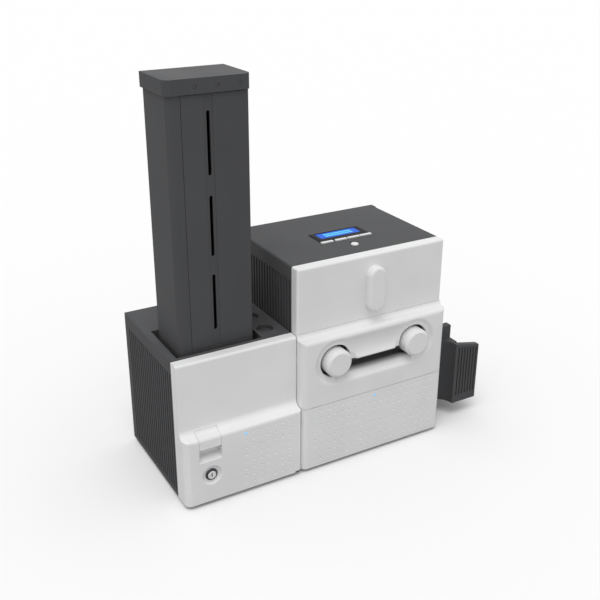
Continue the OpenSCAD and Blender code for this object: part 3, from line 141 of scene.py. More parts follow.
class PrinterColours(bpy.types.PropertyGroup):
    """Colours of the finishes"""
    charcoal: colour("Charcoal", "Covers, bases, deck, tower and bin", (0.078, 0.079, 0.082))
    white: colour("White", "Fronts, keys, knobs, latch and port cap", (0.78, 0.78, 0.785))
    # The black also paints shade into the lock's keyhole, and darkens the notch by the navigation button.
    black: colour("Black", "Bezel, fan, mains inlet, switch and dark recesses", (0.012, 0.012, 0.014))
    grey: colour("Grey", "Drawer tray, spools and print head", (0.20, 0.205, 0.22))
    screen: colour("Screen", "Backlit display", (0.010, 0.085, 0.50))
    cells: colour("Cells", "Lit cells of the display", (0.10, 0.52, 0.72))
    lamp: colour("Status light", "Light-blue status lights", (0.25, 0.50, 0.74))
    steel: colour("Steel", "Inner frames, hinge pins, motor pulley and port socket", (0.56, 0.57, 0.58))
    nickel: colour("Nickel", "Bright face of the lock's barrel", (0.88, 0.88, 0.89))
    motor_metal: colour("Motor metal", "Motors, lock ring and cap screws", (0.10, 0.10, 0.11))
    supply_metal: colour("Supply metal", "Case of the power supply", (0.50, 0.51, 0.53))
    weight_metal: colour("Weight metal", "Card weight in the tower", (0.30, 0.31, 0.32))
    board: colour("Circuit board", "Lacquer of the circuit board", (0.010, 0.105, 0.045))
    copper: colour("Copper", "Tracks under the lacquer", (0.05, 0.26, 0.10))
    rubber: colour("Rubber", "Rollers, belt and feet", (0.022, 0.022, 0.023))


class StageSettings(bpy.types.PropertyGroup):
    """Camera, lights and floor"""
    camera_at: bpy.props.FloatVectorProperty(
        name="Camera place", description="Where the camera stands", default=(-0.66006, -1.09578, 0.81087),
        size=3, subtype="TRANSLATION", unit="LENGTH")
    camera_pitch: amount("Camera pitch", "Degrees that the camera looks down", 22.81)
    camera_turn: amount("Camera turn", "Degrees that the camera is turned to the right", 29.37)
    lens: amount("Lens", "Focal length in millimetres on a 36 mm sensor", 52.11)
    shift_right: amount("Shift to the right", "Share of the picture's width", 0.0149)
    shift_down: amount("Shift down", "Share of the picture's width", 0.0318)
    ambient: amount("Ambient light", "Strength of the light from all round", 0.75)
    key: amount("Key light", "Strength of the soft overhead light", 1.15)
    key_tilt: amount("Key tilt", "Degrees that the key light leans to the front and to the left", 15.0)
    key_spread: amount("Key spread", "Degrees over which the key light spreads", 36.0)
    floor_radius: length("Floor radius", "Radius of the floor", 40.0)
    floor_shade: amount("Floor shade", "How pale the floor is to the light that it throws back", 0.48)
    floor_pale: amount("Floor paleness", "How pale the floor is to the camera", 0.87)
    floor_lift: amount("Floor lift", "Brightness added to the floor that the camera sees", 0.045)


class Tree:
    """Adds and joins the nodes of one material, world or group"""

    def __init__(self, tree):
        self.tree = tree
        tree.nodes.clear()

    def add(self, kind, values=None, **settings):
        """New node with its settings, its inputs set or joined to other nodes' outputs."""
        node = self.tree.nodes.new(kind)
        for name, value in settings.items():
            setattr(node, name, value)
        for name, value in (values or {}).items():
            self.feed(node.inputs[name], value)
        return node

    def feed(self, socket, value):
        """Joins the socket to an output, or sets its value."""
        if isinstance(value, bpy.types.NodeSocket):
            self.tree.links.new(value, socket)
        else:
            socket.default_value = value

    def math(self, operation, first, second=0.0):
        """Output of a Math node."""
        return self.add("ShaderNodeMath", {0: first, 1: second}, operation=operation).outputs[0]

    def spread(self, value, low, high, to_low=0.0, to_high=1.0):
        """Output of a Map Range node, held to its range."""
        node = self.add("ShaderNodeMapRange", {0: value, 1: low, 2: high, 3: to_low, 4: to_high})
        return node.outputs[0]

    def mix(self, factor, first, second):
        """Colour between two colours."""
        node = self.add("ShaderNodeMix", {0: factor, 6: first, 7: second}, data_type="RGBA")
        return node.outputs[2]

    def group(self, name, values):
        """Outputs of a shared node group placed in this tree."""
        node = self.add("ShaderNodeGroup", node_tree=bpy.data.node_groups[name])
        for title, value in values.items():
            self.feed(node.inputs[title], value)
        return node.outputs

    def place(self, scale=(1.0, 1.0, 1.0)):
        """Object coordinates stretched by a Mapping node."""
        coordinates = self.add("ShaderNodeTexCoord").outputs["Object"]
        return self.add("ShaderNodeMapping", {"Vector": coordinates, "Scale": scale}).outputs[0]

    def noise(self, vector, scale, detail=2.0, roughness=0.5):
        """Value of a noise texture."""
        node = self.add("ShaderNodeTexNoise", {
            "Vector": vector, "Scale": scale, "Detail": detail, "Roughness": roughness})
        return node.outputs[0]


def rgba(values, factor=1.0):
    """Colour with alpha, brighter or darker by a factor."""
    return (*[min(1.0, c * factor) for c in values], 1.0)


def make_group(name, inputs, outputs):
    """Empty node group with float inputs and outputs, as its tree, its inputs and its outputs."""
    group = bpy.data.node_groups.new(name, "ShaderNodeTree")
    for title, value in inputs.items():
        socket = group.interface.new_socket(name=title, in_out="INPUT", socket_type="NodeSocketFloat")
        socket.default_value = value
    for title in outputs:
        group.interface.new_socket(name=title, in_out="OUTPUT", socket_type="NodeSocketFloat")
    tree = Tree(group)
    return tree, tree.add("NodeGroupInput").outputs, tree.add("NodeGroupOutput").inputs


def make_moulded_group():
    """Grain, mottling, lighter edges that are partly rubbed wear and partly painted highlight, and settled
    dust of moulded plastic and rubber.
    """
    tree, given, result = make_group(
        "moulded_surface", {"Grain Scale": GRAIN_SCALE, "Mottle Scale": MOTTLE_SCALE},
        ["Height", "Mottle", "Edge", "Dust"])
    place = tree.place()
    geometry = tree.add("ShaderNodeNewGeometry").outputs
    tree.feed(result["Height"], tree.noise(place, given["Grain Scale"], detail=3.0, roughness=0.6))
    tree.feed(result["Mottle"], tree.noise(place, given["Mottle Scale"], detail=3.0))
    # Edge mask from pointiness, for lighter edges: partly rubbed wear, partly painted highlight.
    tree.feed(result["Edge"], tree.spread(geometry["Pointiness"], low=0.53, high=0.62))
    upward = tree.add("ShaderNodeSeparateXYZ", {0: geometry["Normal"]}).outputs[2]
    specks = tree.spread(
        tree.noise(place, scale=320.0, detail=5.0, roughness=0.7), low=0.58, high=0.75)
    tree.feed(result["Dust"], tree.math("MULTIPLY", tree.math("MAXIMUM", upward), specks))


def make_brushed_group():
    """Fine parallel lines, stains and scuffs of worked metal."""
    tree, given, result = make_group(
        "brushed_surface", {"Line Scale": LINE_SCALE}, ["Height", "Stain", "Scuff"])
    lines = tree.noise(tree.place(scale=(1.0, 0.04, 1.0)), given["Line Scale"], roughness=0.7)
    tree.feed(result["Height"], lines)
    tree.feed(result["Stain"], tree.noise(tree.place(), scale=45.0, detail=4.0))
    scuffs = tree.noise(tree.place(scale=(1.0, 6.0, 1.0)), scale=130.0, detail=5.0)
    tree.feed(result["Scuff"], tree.spread(scuffs, low=0.6, high=0.72))


def new_material(name):
    """Material with an empty tree and its output, as the tree and the surface socket."""
    material = bpy.data.materials.new(name)
    material.use_nodes = True
    tree = Tree(material.node_tree)
    return tree, tree.add("ShaderNodeOutputMaterial").inputs["Surface"]


def inside_box(tree, low, high, fade):
    """Value that is 1 in a box of object coordinates and falls to 0 over the fade round it."""
    place = tree.add("ShaderNodeSeparateXYZ", {0: tree.place()}).outputs
    inside = 1.0
    for axis in range(3):
        rise = tree.spread(place[axis], low[axis] - fade, low[axis])
        fall = tree.spread(place[axis], high[axis], high[axis] + fade, to_low=1.0, to_high=0.0)
        inside = tree.math("MULTIPLY", inside, tree.math("MULTIPLY", rise, fall))
    return inside


def make_plastic(name, base, roughness, grain_depth, edge_wear_and_highlight=0.25, dust=0.10, grain_scale=GRAIN_SCALE,
                 shine=0.45, painted_shade_box=None):
    """Moulded plastic or rubber: mottled colour, fine grain, lighter edges that are partly rubbed wear and
    partly painted highlight, and specks of dust. A painted shade box is given by two corners, with the
    depth over which painted shade darkens the plastic towards it."""
    tree, surface = new_material(name)
    look = tree.group("moulded_surface", {"Grain Scale": grain_scale, "Mottle Scale": MOTTLE_SCALE})
    shade = tree.mix(look["Mottle"], rgba(base, 0.93), rgba(base, 1.07))
    # Lighter edges: partly rubbed wear, partly painted highlight.
    worn_and_highlit = tree.mix(tree.math("MULTIPLY", look["Edge"], edge_wear_and_highlight), shade, rgba(base, 1.6))
    tint = tree.mix(tree.math("MULTIPLY", look["Dust"], dust), worn_and_highlit, DUST)
    # Painted shade: the colour turns dark inside the box, where the slot and the wells lie in shade.
    if painted_shade_box:
        tint = tree.mix(inside_box(tree, *painted_shade_box), tint, rgba(base, PAINTED_POCKET_SHADE))
    bump = tree.add("ShaderNodeBump", {"Strength": 0.35, "Distance": grain_depth, "Height": look["Height"]})
    gloss = tree.spread(look["Mottle"], NOISE_LOW, NOISE_HIGH, roughness - 0.05, roughness + 0.05)
    shader = tree.add("ShaderNodeBsdfPrincipled", {
        "Base Color": tint, "Roughness": gloss, "Normal": bump.outputs[0], "Specular IOR Level": shine})
    tree.feed(surface, shader.outputs[0])


def make_metal(name, base, roughness, line_scale=LINE_SCALE, metallic=1.0):
    """Worked metal: brushed lines, stains and duller scuffs."""
    tree, surface = new_material(name)
    look = tree.group("brushed_surface", {"Line Scale": line_scale})
    stained = tree.mix(look["Stain"], rgba(base, 0.82), rgba(base, 1.12))
    dulled = tree.mix(look["Scuff"], stained, rgba(base, 0.6))
    gloss = tree.spread(look["Height"], NOISE_LOW, NOISE_HIGH, roughness - 0.08, roughness + 0.12)
    bump = tree.add("ShaderNodeBump", {"Strength": 0.2, "Distance": 0.05 * MM, "Height": look["Height"]})
    shader = tree.add("ShaderNodeBsdfPrincipled", {
        "Base Color": dulled, "Roughness": gloss, "Metallic": metallic, "Normal": bump.outputs[0]})
    tree.feed(surface, shader.outputs[0])


def make_glow(name, base, strength, scale, shine=0.45):
    """Lit plastic whose light is a little uneven, under a glossy skin."""
    tree, surface = new_material(name)
    unevenness = tree.noise(tree.place(), scale)
    lit = tree.mix(unevenness, rgba(base, 0.8), rgba(base, 1.15))
    shader = tree.add("ShaderNodeBsdfPrincipled", {
        "Base Color": lit, "Roughness": 0.22, "Emission Color": lit, "Emission Strength": strength,
        "Specular IOR Level": shine})
    tree.feed(surface, shader.outputs[0])


def make_board(name, lacquer, copper):
    """Circuit board: straight tracks and round pads under green lacquer."""
    tree, surface = new_material(name)
    place = tree.place()
    tracks = tree.add("ShaderNodeTexBrick", {
        "Vector": place, "Scale": 110.0, "Mortar Size": 0.035}, offset=0.35, squash=0.6)
    pads = tree.add("ShaderNodeTexVoronoi", {"Vector": place, "Scale": 240.0})
    pad = tree.spread(pads.outputs["Distance"], low=0.16, high=0.20, to_low=1.0, to_high=0.0)
    marks = tree.math("MAXIMUM", tracks.outputs["Fac"], pad)
    bump = tree.add("ShaderNodeBump", {"Strength": 0.5, "Distance": 0.04 * MM, "Height": marks})
    shader = tree.add("ShaderNodeBsdfPrincipled", {
        "Base Color": tree.mix(marks, rgba(lacquer), rgba(copper)), "Roughness": 0.32,
        "Normal": bump.outputs[0]})
    tree.feed(surface, shader.outputs[0])


def make_ribbon(name):
    """Glossy dye film whose panels repeat along it, crossed by fine lines."""
    tree, surface = new_material(name)
    place = tree.add("ShaderNodeSeparateXYZ", {0: tree.place()})
    along = tree.math("FRACT", tree.math("MULTIPLY", place.outputs[0], RIBBON_SETS_PER_METRE))
    bands = tree.add("ShaderNodeValToRGB", {0: along})
    bands.color_ramp.interpolation = "CONSTANT"
    stops = bands.color_ramp.elements
    stops.remove(stops[1])
    stops[0].color = RIBBON_PANELS[0]
    for index in range(1, len(RIBBON_PANELS)):
        stops.new(index / len(RIBBON_PANELS)).color = RIBBON_PANELS[index]
    lines = tree.noise(tree.place(scale=(1.0, 0.02, 1.0)), scale=2600.0, detail=1.0)
    bump = tree.add("ShaderNodeBump", {"Strength": 0.3, "Distance": 0.05 * MM, "Height": lines})
    gloss = tree.spread(lines, NOISE_LOW, NOISE_HIGH, to_low=0.15, to_high=0.3)
    shader = tree.add("ShaderNodeBsdfPrincipled", {
        "Base Color": bands.outputs[0], "Roughness": gloss, "Normal": bump.outputs[0]})
    tree.feed(surface, shader.outputs[0])


def use_alone(piece):
    """Makes the piece the only selected and the active object."""
    if bpy.context.object and bpy.context.object.mode != "OBJECT":
        bpy.ops.object.mode_set(mode="OBJECT")
    bpy.ops.object.select_all(action="DESELECT")
    piece.select_set(True)
    bpy.context.view_layer.objects.active = piece


def modify(piece, kind, **settings):
    """Adds a modifier with its settings and applies it."""
    use_alone(piece)
    bpy.ops.object.modifier_add(type=kind)
    modifier = piece.modifiers[-1]
    for name, value in settings.items():
        setattr(modifier, name, value)
    bpy.ops.object.modifier_apply(modifier=modifier.name)


def clear_selection():
    """Deselects all objects, so that the next primitive is alone."""
    bpy.ops.object.select_all(action="DESELECT")


def smooth(piece, degrees=35.0):
    """Smooth shading across edges below an angle, flat faces kept flat."""
    use_alone(piece)
    bpy.ops.object.shade_smooth_by_angle(angle=math.radians(degrees))
    modify(piece, "WEIGHTED_NORMAL", keep_sharp=True)


def settle(piece, name, slot, body, *nodes):
    """Names a finished piece, gives it its finish and its body, and says which nodes it stands for."""
    use_alone(piece)
    bpy.ops.object.transform_apply(location=True, rotation=True, scale=True)
    piece.name = name
    piece.data.name = name
    piece.data.materials.clear()
    piece.data.materials.append(bpy.data.materials[slot + "_finish"])
    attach(piece, body)
    if nodes:
        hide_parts(*nodes)
    return piece


def copy_of(node):
    """Closed copy of a node's mesh, as an object of its own."""
    piece = bpy.data.objects.new(node + "_copy", NODES[node].data.copy())
    bpy.context.scene.collection.objects.link(piece)
    use_alone(piece)
    bpy.ops.object.mode_set(mode="EDIT")
    bpy.ops.mesh.select_all(action="SELECT")
    bpy.ops.mesh.remove_doubles(threshold=0.002 * MM)
    bpy.ops.object.mode_set(mode="OBJECT")
    if piece.data.has_custom_normals:
        bpy.ops.mesh.customdata_custom_splitnormals_clear()
    return piece


def join_faces(piece):
    """Joins the coplanar triangles of a copy into flat faces of up to four sides."""
    use_alone(piece)
    bpy.ops.object.mode_set(mode="EDIT")
    bpy.ops.mesh.select_all(action="SELECT")
    bpy.ops.mesh.dissolve_limited(angle_limit=math.radians(0.5))
    bpy.ops.mesh.quads_convert_to_tris(quad_method="BEAUTY", ngon_method="BEAUTY")
    bpy.ops.mesh.tris_convert_to_quads(face_threshold=math.radians(1), shape_threshold=math.pi)
    bpy.ops.object.mode_set(mode="OBJECT")


def dress(node, slot, edge=0.0, segments=2):
    """Finished piece in a node's own shape, its hard edges rounded where edge isn't zero."""
    piece = copy_of(node)
    if edge:
        join_faces(piece)
        modify(piece, "BEVEL", width=edge, segments=segments, limit_method="ANGLE",
               angle_limit=math.radians(40), use_clamp_overlap=True, miter_outer="MITER_ARC")
    smooth(piece)
    return settle(piece, node + "_finished", slot, BODY_OF[node], node)


def turned(centre, axis, rings, sides=64):
    """Turned solid: a disc extruded ring by ring, each ring its place along the axis and its radius."""
    place, radius = rings[0]
    turn = axis.to_track_quat("Z", "Y").to_euler()
    clear_selection()
    bpy.ops.mesh.primitive_circle_add(
        vertices=sides, radius=radius, fill_type="NGON", location=centre + axis * place, rotation=turn)
    piece = bpy.context.object
    bpy.ops.object.mode_set(mode="EDIT")
    bpy.ops.mesh.select_mode(type="FACE")
    bpy.ops.mesh.select_all(action="SELECT")
    for next_place, next_radius in rings[1:]:
        bpy.ops.mesh.extrude_region_move(TRANSFORM_OT_translate={"value": axis * (next_place - place)})
        scale = next_radius / radius
        bpy.ops.transform.resize(value=(scale, scale, scale), center_override=centre + axis * next_place)
        place, radius = next_place, next_radius
    bpy.ops.mesh.select_all(action="SELECT")
    bpy.ops.mesh.normals_make_consistent(inside=False)
    bpy.ops.object.mode_set(mode="OBJECT")
    return piece


def arc(centre_place, centre_radius, radius, start, end, steps=8):
    """Rings along an arc of a turned outline, from one angle to another in degrees."""
    angles = [math.radians(start + (end - start) * i / steps) for i in range(steps + 1)]
    return [(centre_place + radius * math.sin(a), centre_radius + radius * math.cos(a)) for a in angles]


def middle(node):
    """Middle, lowest and highest corner of a node's box."""
    low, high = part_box(node)
    return (low + high) / 2, low, high


class PRINTER_OT_finishes(bpy.types.Operator):
    """Makes the finishes of all pieces"""
    bl_idname = "card_printer.finishes"
    bl_label = "Finishes"

    def execute(self, context):
        tints = context.scene.printer_colours
        make_moulded_group()
        make_brushed_group()
        make_plastic("charcoal_plastic_finish", tints.charcoal, roughness=0.52, grain_depth=0.06 * MM,
                     shine=0.08)
        make_plastic("white_plastic_finish", tints.white, roughness=0.40, grain_depth=0.04 * MM,
                     edge_wear_and_highlight=0.1, dust=0.05)
        make_plastic("black_plastic_finish", tints.black, roughness=0.30, grain_depth=0.02 * MM,
                     dust=0.02, shine=0.03)
        make_plastic("grey_plastic_finish", tints.grey, roughness=0.45, grain_depth=0.06 * MM)
        # The drawer front's white, with painted shade in its slot and the knobs' wells.
        make_plastic("drawer_plastic_finish", tints.white, roughness=0.40, grain_depth=0.04 * MM,
                     edge_wear_and_highlight=0.1, dust=0.05, painted_shade_box=self.drawer_painted_shade_box(context.scene.printer_sizes))
        make_plastic("rubber_finish", tints.rubber, roughness=0.75, grain_depth=0.10 * MM,
                     grain_scale=600.0)
        make_glow("display_finish", tints.screen, strength=0.5, scale=30.0, shine=0.05)
        make_glow("cells_finish", tints.cells, strength=0.4, scale=60.0, shine=0.05)
        make_glow("led_finish", tints.lamp, strength=0.5, scale=200.0)
        make_metal("steel_finish", tints.steel, roughness=0.30)
        make_metal("polished_steel_finish", tints.nickel, roughness=0.18, metallic=0.35)
        make_metal("motor_metal_finish", tints.motor_metal, roughness=0.38)
        make_metal("supply_metal_finish", tints.supply_metal, roughness=0.42, line_scale=900.0)
        make_metal("weight_metal_finish", tints.weight_metal, roughness=0.45, line_scale=700.0)
        make_board("circuit_board_finish", tints.board, tints.copper)
        make_ribbon("ribbon_finish")
        return {"FINISHED"}

    def drawer_painted_shade_box(self, sizes):
        """Two corners of the box in which painted shade darkens the slot and the knobs' wells, and its
        fade.
        """
        left, right = middle("release_knob_left")[0], middle("release_knob_right")[0]
        face, back = (corner.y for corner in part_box("drawer_front"))
        reach = sizes.painted_shade_reach
        low = (left.x - reach, face + sizes.painted_shade_start, left.z - reach)
        high = (right.x + reach, back, left.z + reach)
        return low, high, sizes.painted_shade_fade


class PRINTER_OT_inner_parts(bpy.types.Operator):
    """Gives every node of the frame the finish of its own material slot"""
    bl_idname = "card_printer.inner_parts"
    bl_label = "Inner parts"

    def execute(self, context):
        for node in NODES.values():
            for slot in node.material_slots:
                slot.material = bpy.data.materials[slot.material.name.split(".")[0] + "_finish"]
        return {"FINISHED"}


class PRINTER_OT_covers(bpy.types.Operator):
    """Rounds the edges of the printer's dark covers, and darkens the navigation button's notch"""
    bl_idname = "card_printer.covers"
    bl_label = "Covers"

    def execute(self, context):
        sizes = context.scene.printer_sizes
        for node in ("left_cover", "right_cover", "rear_cover"):
            dress(node, "charcoal_plastic", sizes.edge)
        lid = dress("top_cover", "charcoal_plastic", sizes.edge)
        lid.data.materials.append(bpy.data.materials["black_plastic_finish"])
        button, top = middle("nav_button")[0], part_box("top_cover")[1].z
        for face in lid.data.polygons:
            away = Vector((face.center.x - button.x, face.center.y - button.y)).length
            if face.center.z < top - sizes.edge / 2 and away < sizes.notch_reach:
                face.material_index = 1
        return {"FINISHED"}


class PRINTER_OT_white_fronts(bpy.types.Operator):
    """Upper front panel and dimpled lower front panel"""
    bl_idname = "card_printer.white_fronts"
    bl_label = "White fronts"

    def execute(self, context):
        dress("upper_front_panel", "white_plastic")
        dress("lower_front_panel", "white_plastic")
        return {"FINISHED"}


class PRINTER_OT_drawer_front(bpy.types.Operator):
    """Softly moulded drawer front with its dished handle, its slot and wells darkened by painted shade"""
    bl_idname = "card_printer.drawer_front"
    bl_label = "Drawer front"

    def execute(self, context):
        sizes = context.scene.printer_sizes
        piece = copy_of("drawer_front")
        modify(piece, "REMESH", mode="VOXEL", voxel_size=sizes.voxel)
        modify(piece, "SMOOTH", factor=0.5, iterations=2)
        left, right = middle("release_knob_left")[0], middle("release_knob_right")[0]
        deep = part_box("drawer_front")[0].y + sizes.dish_reach
        rim = piece.vertex_groups.new(name="dish_rim")
        soft = []
        for vertex in piece.data.vertices:
            place = vertex.co
            beside = max(left.x - place.x, place.x - right.x, 0.0)
            away = math.hypot(beside, place.z - left.z)
            if place.y < deep and sizes.dish_inner < away < sizes.dish_outer:
                soft.append(vertex.index)
        rim.add(soft, 1.0, "REPLACE")
        modify(piece, "SMOOTH", factor=0.5, iterations=sizes.dish_passes, vertex_group="dish_rim")
        modify(piece, "DECIMATE", ratio=sizes.kept_faces)
        smooth(piece, degrees=60)
        settle(piece, "drawer_front_finished", "white_plastic", BODY_OF["drawer_front"], "drawer_front")
        # Finish with painted shade in the slot and the knobs' wells.
        piece.data.materials[0] = bpy.data.materials["drawer_plastic_finish"]
        return {"FINISHED"}


class PRINTER_OT_release_knobs(bpy.types.Operator):
    """Thick round release knobs with a slanted edge, a flat face and a snap stem"""
    bl_idname = "card_printer.release_knobs"
    bl_label = "Release knobs"

    def execute(self, context):
        sizes = context.scene.printer_sizes
        for node in ("release_knob_left", "release_knob_right"):
            centre, low, high = middle(node)
            face = Vector((centre.x, low.y, centre.z))
            radius = (high.x - low.x) / 2
            back = low.y - high.y
            rings = [(back, sizes.stem_head), (back + sizes.stem_head_depth, sizes.stem_head),
                     (back + sizes.stem_head_depth, sizes.stem), (-sizes.knob_body, sizes.stem),
                     (-sizes.knob_body, radius - sizes.knob_round)]
            side = radius - sizes.knob_round
            rings += arc(sizes.knob_round - sizes.knob_body, side, sizes.knob_round,
                         start=-90, end=0, steps=4)
            rings += arc(-sizes.knob_slant, side, sizes.knob_round, start=0, end=45, steps=4)
            rings += arc(-sizes.knob_tip, radius - sizes.knob_slant, sizes.knob_tip,
                         start=45, end=90, steps=4)
            piece = turned(face, FRONT, rings, sides=96)
            smooth(piece, degrees=25)
            settle(piece, node + "_finished", "white_plastic", node, node)
        return {"FINISHED"}


class PRINTER_OT_port_cap(bpy.types.Operator):
    """Pill-shaped cover of the front data port, and the socket behind it"""
    bl_idname = "card_printer.port_cap"
    bl_label = "Port cap"

    def execute(self, context):
        sizes = context.scene.printer_sizes
        dress("port_cap", "white_plastic", sizes.cap_round, segments=4)
        dress("usb_socket", "steel", sizes.fine_edge)
        return {"FINISHED"}


class PRINTER_OT_display(bpy.types.Operator):
    """Black bezel, backlit screen and rows of lit cells"""
    bl_idname = "card_printer.display"
    bl_label = "Display"

    def execute(self, context):
        sizes = context.scene.printer_sizes
        dress("display_bezel", "black_plastic", sizes.edge)
        dress("display_panel", "display", sizes.fine_edge)
        low, high = middle("display_panel")[1:]
        columns, rows, thick = sizes.cell_columns, sizes.cell_rows, sizes.cell_thick
        pitch = (high.x - low.x - sizes.cell_side * 2) / columns
        row_pitch = (high.y - low.y - sizes.cell_margin * 2) / rows
        first = Vector((
            low.x + sizes.cell_side + pitch / 2,
            low.y + sizes.cell_margin + row_pitch / 2,
            high.z + thick / 2))
        clear_selection()
        bpy.ops.mesh.primitive_plane_add(size=1, location=first)
        piece = bpy.context.object
        piece.scale = (pitch - sizes.cell_gap, sizes.cell_height, 1)
        bpy.ops.object.transform_apply(location=False, rotation=False, scale=True)
        modify(piece, "ARRAY", count=columns, use_relative_offset=False, use_constant_offset=True,
               constant_offset_displace=(pitch, 0, 0))
        modify(piece, "ARRAY", count=rows, use_relative_offset=False, use_constant_offset=True,
               constant_offset_displace=(0, row_pitch, 0))
        modify(piece, "SOLIDIFY", thickness=thick, offset=0)
        settle(piece, "display_cells", "display", BODY_OF["display_panel"])
        piece.data.materials[0] = bpy.data.materials["cells_finish"]
        return {"FINISHED"}


class PRINTER_OT_keys(bpy.types.Operator):
    """Four menu keys and the round navigation button"""
    bl_idname = "card_printer.keys"
    bl_label = "Keys"

    def execute(self, context):
        sizes = context.scene.printer_sizes
        for number in range(1, 5):
            dress(f"menu_key_{number}", "white_plastic", sizes.key_edge, segments=4)
        dress("nav_button", "white_plastic", sizes.fine_edge)
        return {"FINISHED"}


class PRINTER_OT_status_lights(bpy.types.Operator):
    """Round light-blue status lights with a rounded edge"""
    bl_idname = "card_printer.status_lights"
    bl_label = "Status lights"

    def execute(self, context):
        for node in ("printer_led", "loader_led"):
            centre, low, high = middle(node)
            radius = (high.x - low.x) / 2
            soft = radius * context.scene.printer_sizes.lamp_round
            rings = [(low.y - high.y, radius)]
            rings += arc(-soft, radius - soft, soft, start=0, end=90, steps=5)
            piece = turned(Vector((centre.x, low.y, centre.z)), FRONT, rings, sides=32)
            smooth(piece, degrees=60)
            settle(piece, node + "_finished", "led", BODY_OF[node], node)
        return {"FINISHED"}


class PRINTER_OT_loading_module(bpy.types.Operator):
    """Dark cover and deck of the loading module, and its dimpled white door"""
    bl_idname = "card_printer.loading_module"
    bl_label = "Loading module"

    def execute(self, context):
        edge = context.scene.printer_sizes.edge
        dress("loader_cover", "charcoal_plastic", edge)
        dress("loader_deck", "charcoal_plastic", edge)
        dress("front_door", "white_plastic")
        return {"FINISHED"}


class PRINTER_OT_latch_and_lock(bpy.types.Operator):
    """Door latch, and the lock's ring and its bright barrel, with painted shade in its keyhole"""
    bl_idname = "card_printer.latch_and_lock"
    bl_label = "Latch and lock"

    def execute(self, context):
        sizes = context.scene.printer_sizes
        dress("door_latch", "white_plastic", sizes.fine_edge)
        dress("lock_ring", "motor_metal", sizes.fine_edge)
        barrel = dress("lock_barrel", "steel", sizes.fine_edge)
        barrel.data.materials[0] = bpy.data.materials["polished_steel_finish"]
        barrel.data.materials.append(bpy.data.materials["black_plastic_finish"])
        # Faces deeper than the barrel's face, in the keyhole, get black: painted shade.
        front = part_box("lock_barrel")[0].y
        for face in barrel.data.polygons:
            if face.center.y > front + sizes.edge:
                face.material_index = 1
        return {"FINISHED"}


class PRINTER_OT_tower(bpy.types.Operator):
    """Card tower with its slotted door, cap and screws"""
    bl_idname = "card_printer.tower"
    bl_label = "Tower"

    def execute(self, context):
        sizes = context.scene.printer_sizes
        dress("tower_shell", "charcoal_plastic", sizes.edge)
        dress("tower_cap", "charcoal_plastic", sizes.edge)
        dress("tower_door", "charcoal_plastic", sizes.fine_edge)
        dress("cap_screws", "motor_metal", sizes.fine_edge)
        return {"FINISHED"}


class PRINTER_OT_output_bin(bpy.types.Operator):
    """Output bin with its ribbed front, and the rubber feet"""
    bl_idname = "card_printer.output_bin"
    bl_label = "Output bin and feet"

    def execute(self, context):
        sizes = context.scene.printer_sizes
        dress("output_bin", "charcoal_plastic", sizes.edge)
        dress("feet", "rubber", sizes.edge)
        return {"FINISHED"}


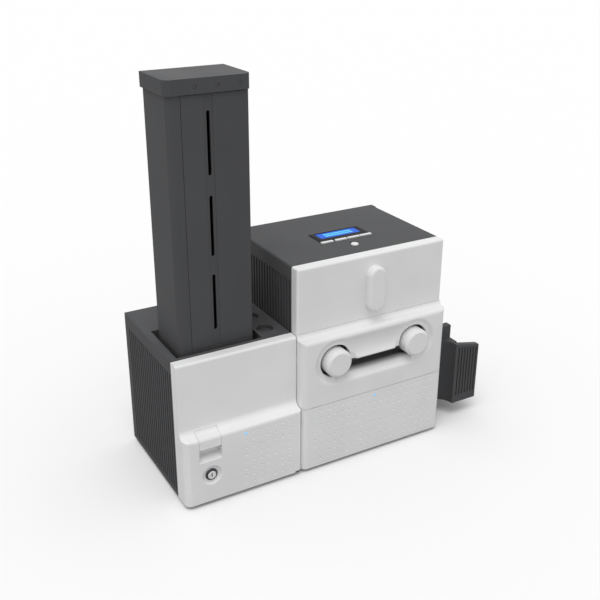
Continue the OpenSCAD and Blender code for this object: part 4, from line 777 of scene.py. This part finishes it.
class PRINTER_OT_stage(bpy.types.Operator):
    """Pale floor, soft light from all round and above, and the camera"""
    bl_idname = "card_printer.stage"
    bl_label = "Stage"

    def execute(self, context):
        stage = context.scene.printer_stage
        self.make_floor(stage)
        self.make_world(context, stage)
        self.make_key(stage)
        self.make_camera(context, stage)
        context.scene.view_settings.view_transform = "Standard"
        return {"FINISHED"}

    def make_floor(self, stage):
        """Round floor, paler and a little lit to the camera, darker to the light it throws back."""
        clear_selection()
        bpy.ops.mesh.primitive_circle_add(vertices=64, radius=stage.floor_radius, fill_type="NGON")
        floor = bpy.context.object
        floor.name = "floor"
        tree, surface = new_material("floor_finish")
        seen = tree.add("ShaderNodeLightPath").outputs["Is Camera Ray"]
        tint = tree.mix(seen, rgba((stage.floor_shade,) * 3), rgba((stage.floor_pale,) * 3))
        paint = tree.add("ShaderNodeBsdfDiffuse", {"Color": tint}).outputs[0]
        lift = tree.add("ShaderNodeEmission", {
            "Color": WHITE_LINEAR, "Strength": tree.math("MULTIPLY", seen, stage.floor_lift)}).outputs[0]
        tree.feed(surface, tree.add("ShaderNodeAddShader", {0: paint, 1: lift}).outputs[0])
        floor.data.materials.append(bpy.data.materials["floor_finish"])

    def make_world(self, context, stage):
        """Even light, white where the camera, gloss or glass sees it."""
        world = bpy.data.worlds.new("studio")
        world.use_nodes = True
        context.scene.world = world
        tree = Tree(world.node_tree)
        rays = tree.add("ShaderNodeLightPath").outputs
        seen = tree.math("MAXIMUM", rays["Is Camera Ray"],
                         tree.math("MAXIMUM", rays["Is Glossy Ray"], rays["Is Transmission Ray"]))
        strength = tree.spread(seen, 0.0, 1.0, stage.ambient, 1.0)
        sky = tree.add("ShaderNodeBackground", {"Color": WHITE_LINEAR, "Strength": strength})
        output = tree.add("ShaderNodeOutputWorld")
        tree.feed(output.inputs["Surface"], sky.outputs[0])

    def make_key(self, stage):
        """Wide overhead light that leans a little to the front left."""
        lean = math.radians(stage.key_tilt)
        clear_selection()
        bpy.ops.object.light_add(type="SUN", location=(0, 0, 2), rotation=(lean, -lean, 0))
        lamp = bpy.context.object.data
        lamp.energy = stage.key
        lamp.angle = math.radians(stage.key_spread)

    def make_camera(self, context, stage):
        """Camera at the photographer's place."""
        clear_selection()
        turn = (math.radians(90 - stage.camera_pitch), 0, math.radians(-stage.camera_turn))
        bpy.ops.object.camera_add(location=stage.camera_at, rotation=turn)
        camera = bpy.context.object
        camera.data.lens = stage.lens
        camera.data.sensor_width = 36.0
        camera.data.shift_x = stage.shift_right
        camera.data.shift_y = -stage.shift_down
        camera.data.clip_end = 200.0
        context.scene.camera = camera


PIECES = (PRINTER_OT_finishes, PRINTER_OT_inner_parts, PRINTER_OT_covers, PRINTER_OT_white_fronts,
          PRINTER_OT_drawer_front, PRINTER_OT_release_knobs, PRINTER_OT_port_cap, PRINTER_OT_display,
          PRINTER_OT_keys, PRINTER_OT_status_lights, PRINTER_OT_loading_module, PRINTER_OT_latch_and_lock,
          PRINTER_OT_tower, PRINTER_OT_output_bin, PRINTER_OT_stage)


class PRINTER_PT_panel(bpy.types.Panel):
    """Lists the settings and the pieces in the order in which they are made"""
    bl_idname = "PRINTER_PT_panel"
    bl_label = "Card printer"
    bl_space_type = "VIEW_3D"
    bl_region_type = "UI"
    bl_category = "Card printer"

    def draw(self, context):
        scene = context.scene
        for settings in (scene.printer_sizes, scene.printer_colours, scene.printer_stage):
            box = self.layout.box()
            for name in settings.__annotations__:
                box.prop(settings, name)
        for piece in PIECES:
            self.layout.operator(piece.bl_idname)


CLASSES = (PrinterSizes, PrinterColours, StageSettings, *PIECES, PRINTER_PT_panel)


def register():
    for cls in CLASSES:
        bpy.utils.register_class(cls)
    bpy.types.Scene.printer_sizes = bpy.props.PointerProperty(type=PrinterSizes)
    bpy.types.Scene.printer_colours = bpy.props.PointerProperty(type=PrinterColours)
    bpy.types.Scene.printer_stage = bpy.props.PointerProperty(type=StageSettings)


def unregister():
    del bpy.types.Scene.printer_sizes
    del bpy.types.Scene.printer_colours
    del bpy.types.Scene.printer_stage
    for cls in reversed(CLASSES):
        bpy.utils.unregister_class(cls)


def main():
    register()
    for piece in PIECES:
        name = piece.bl_idname.split(".")[1]
        getattr(bpy.ops.card_printer, name)()


if __name__ == "__main__":
    main()
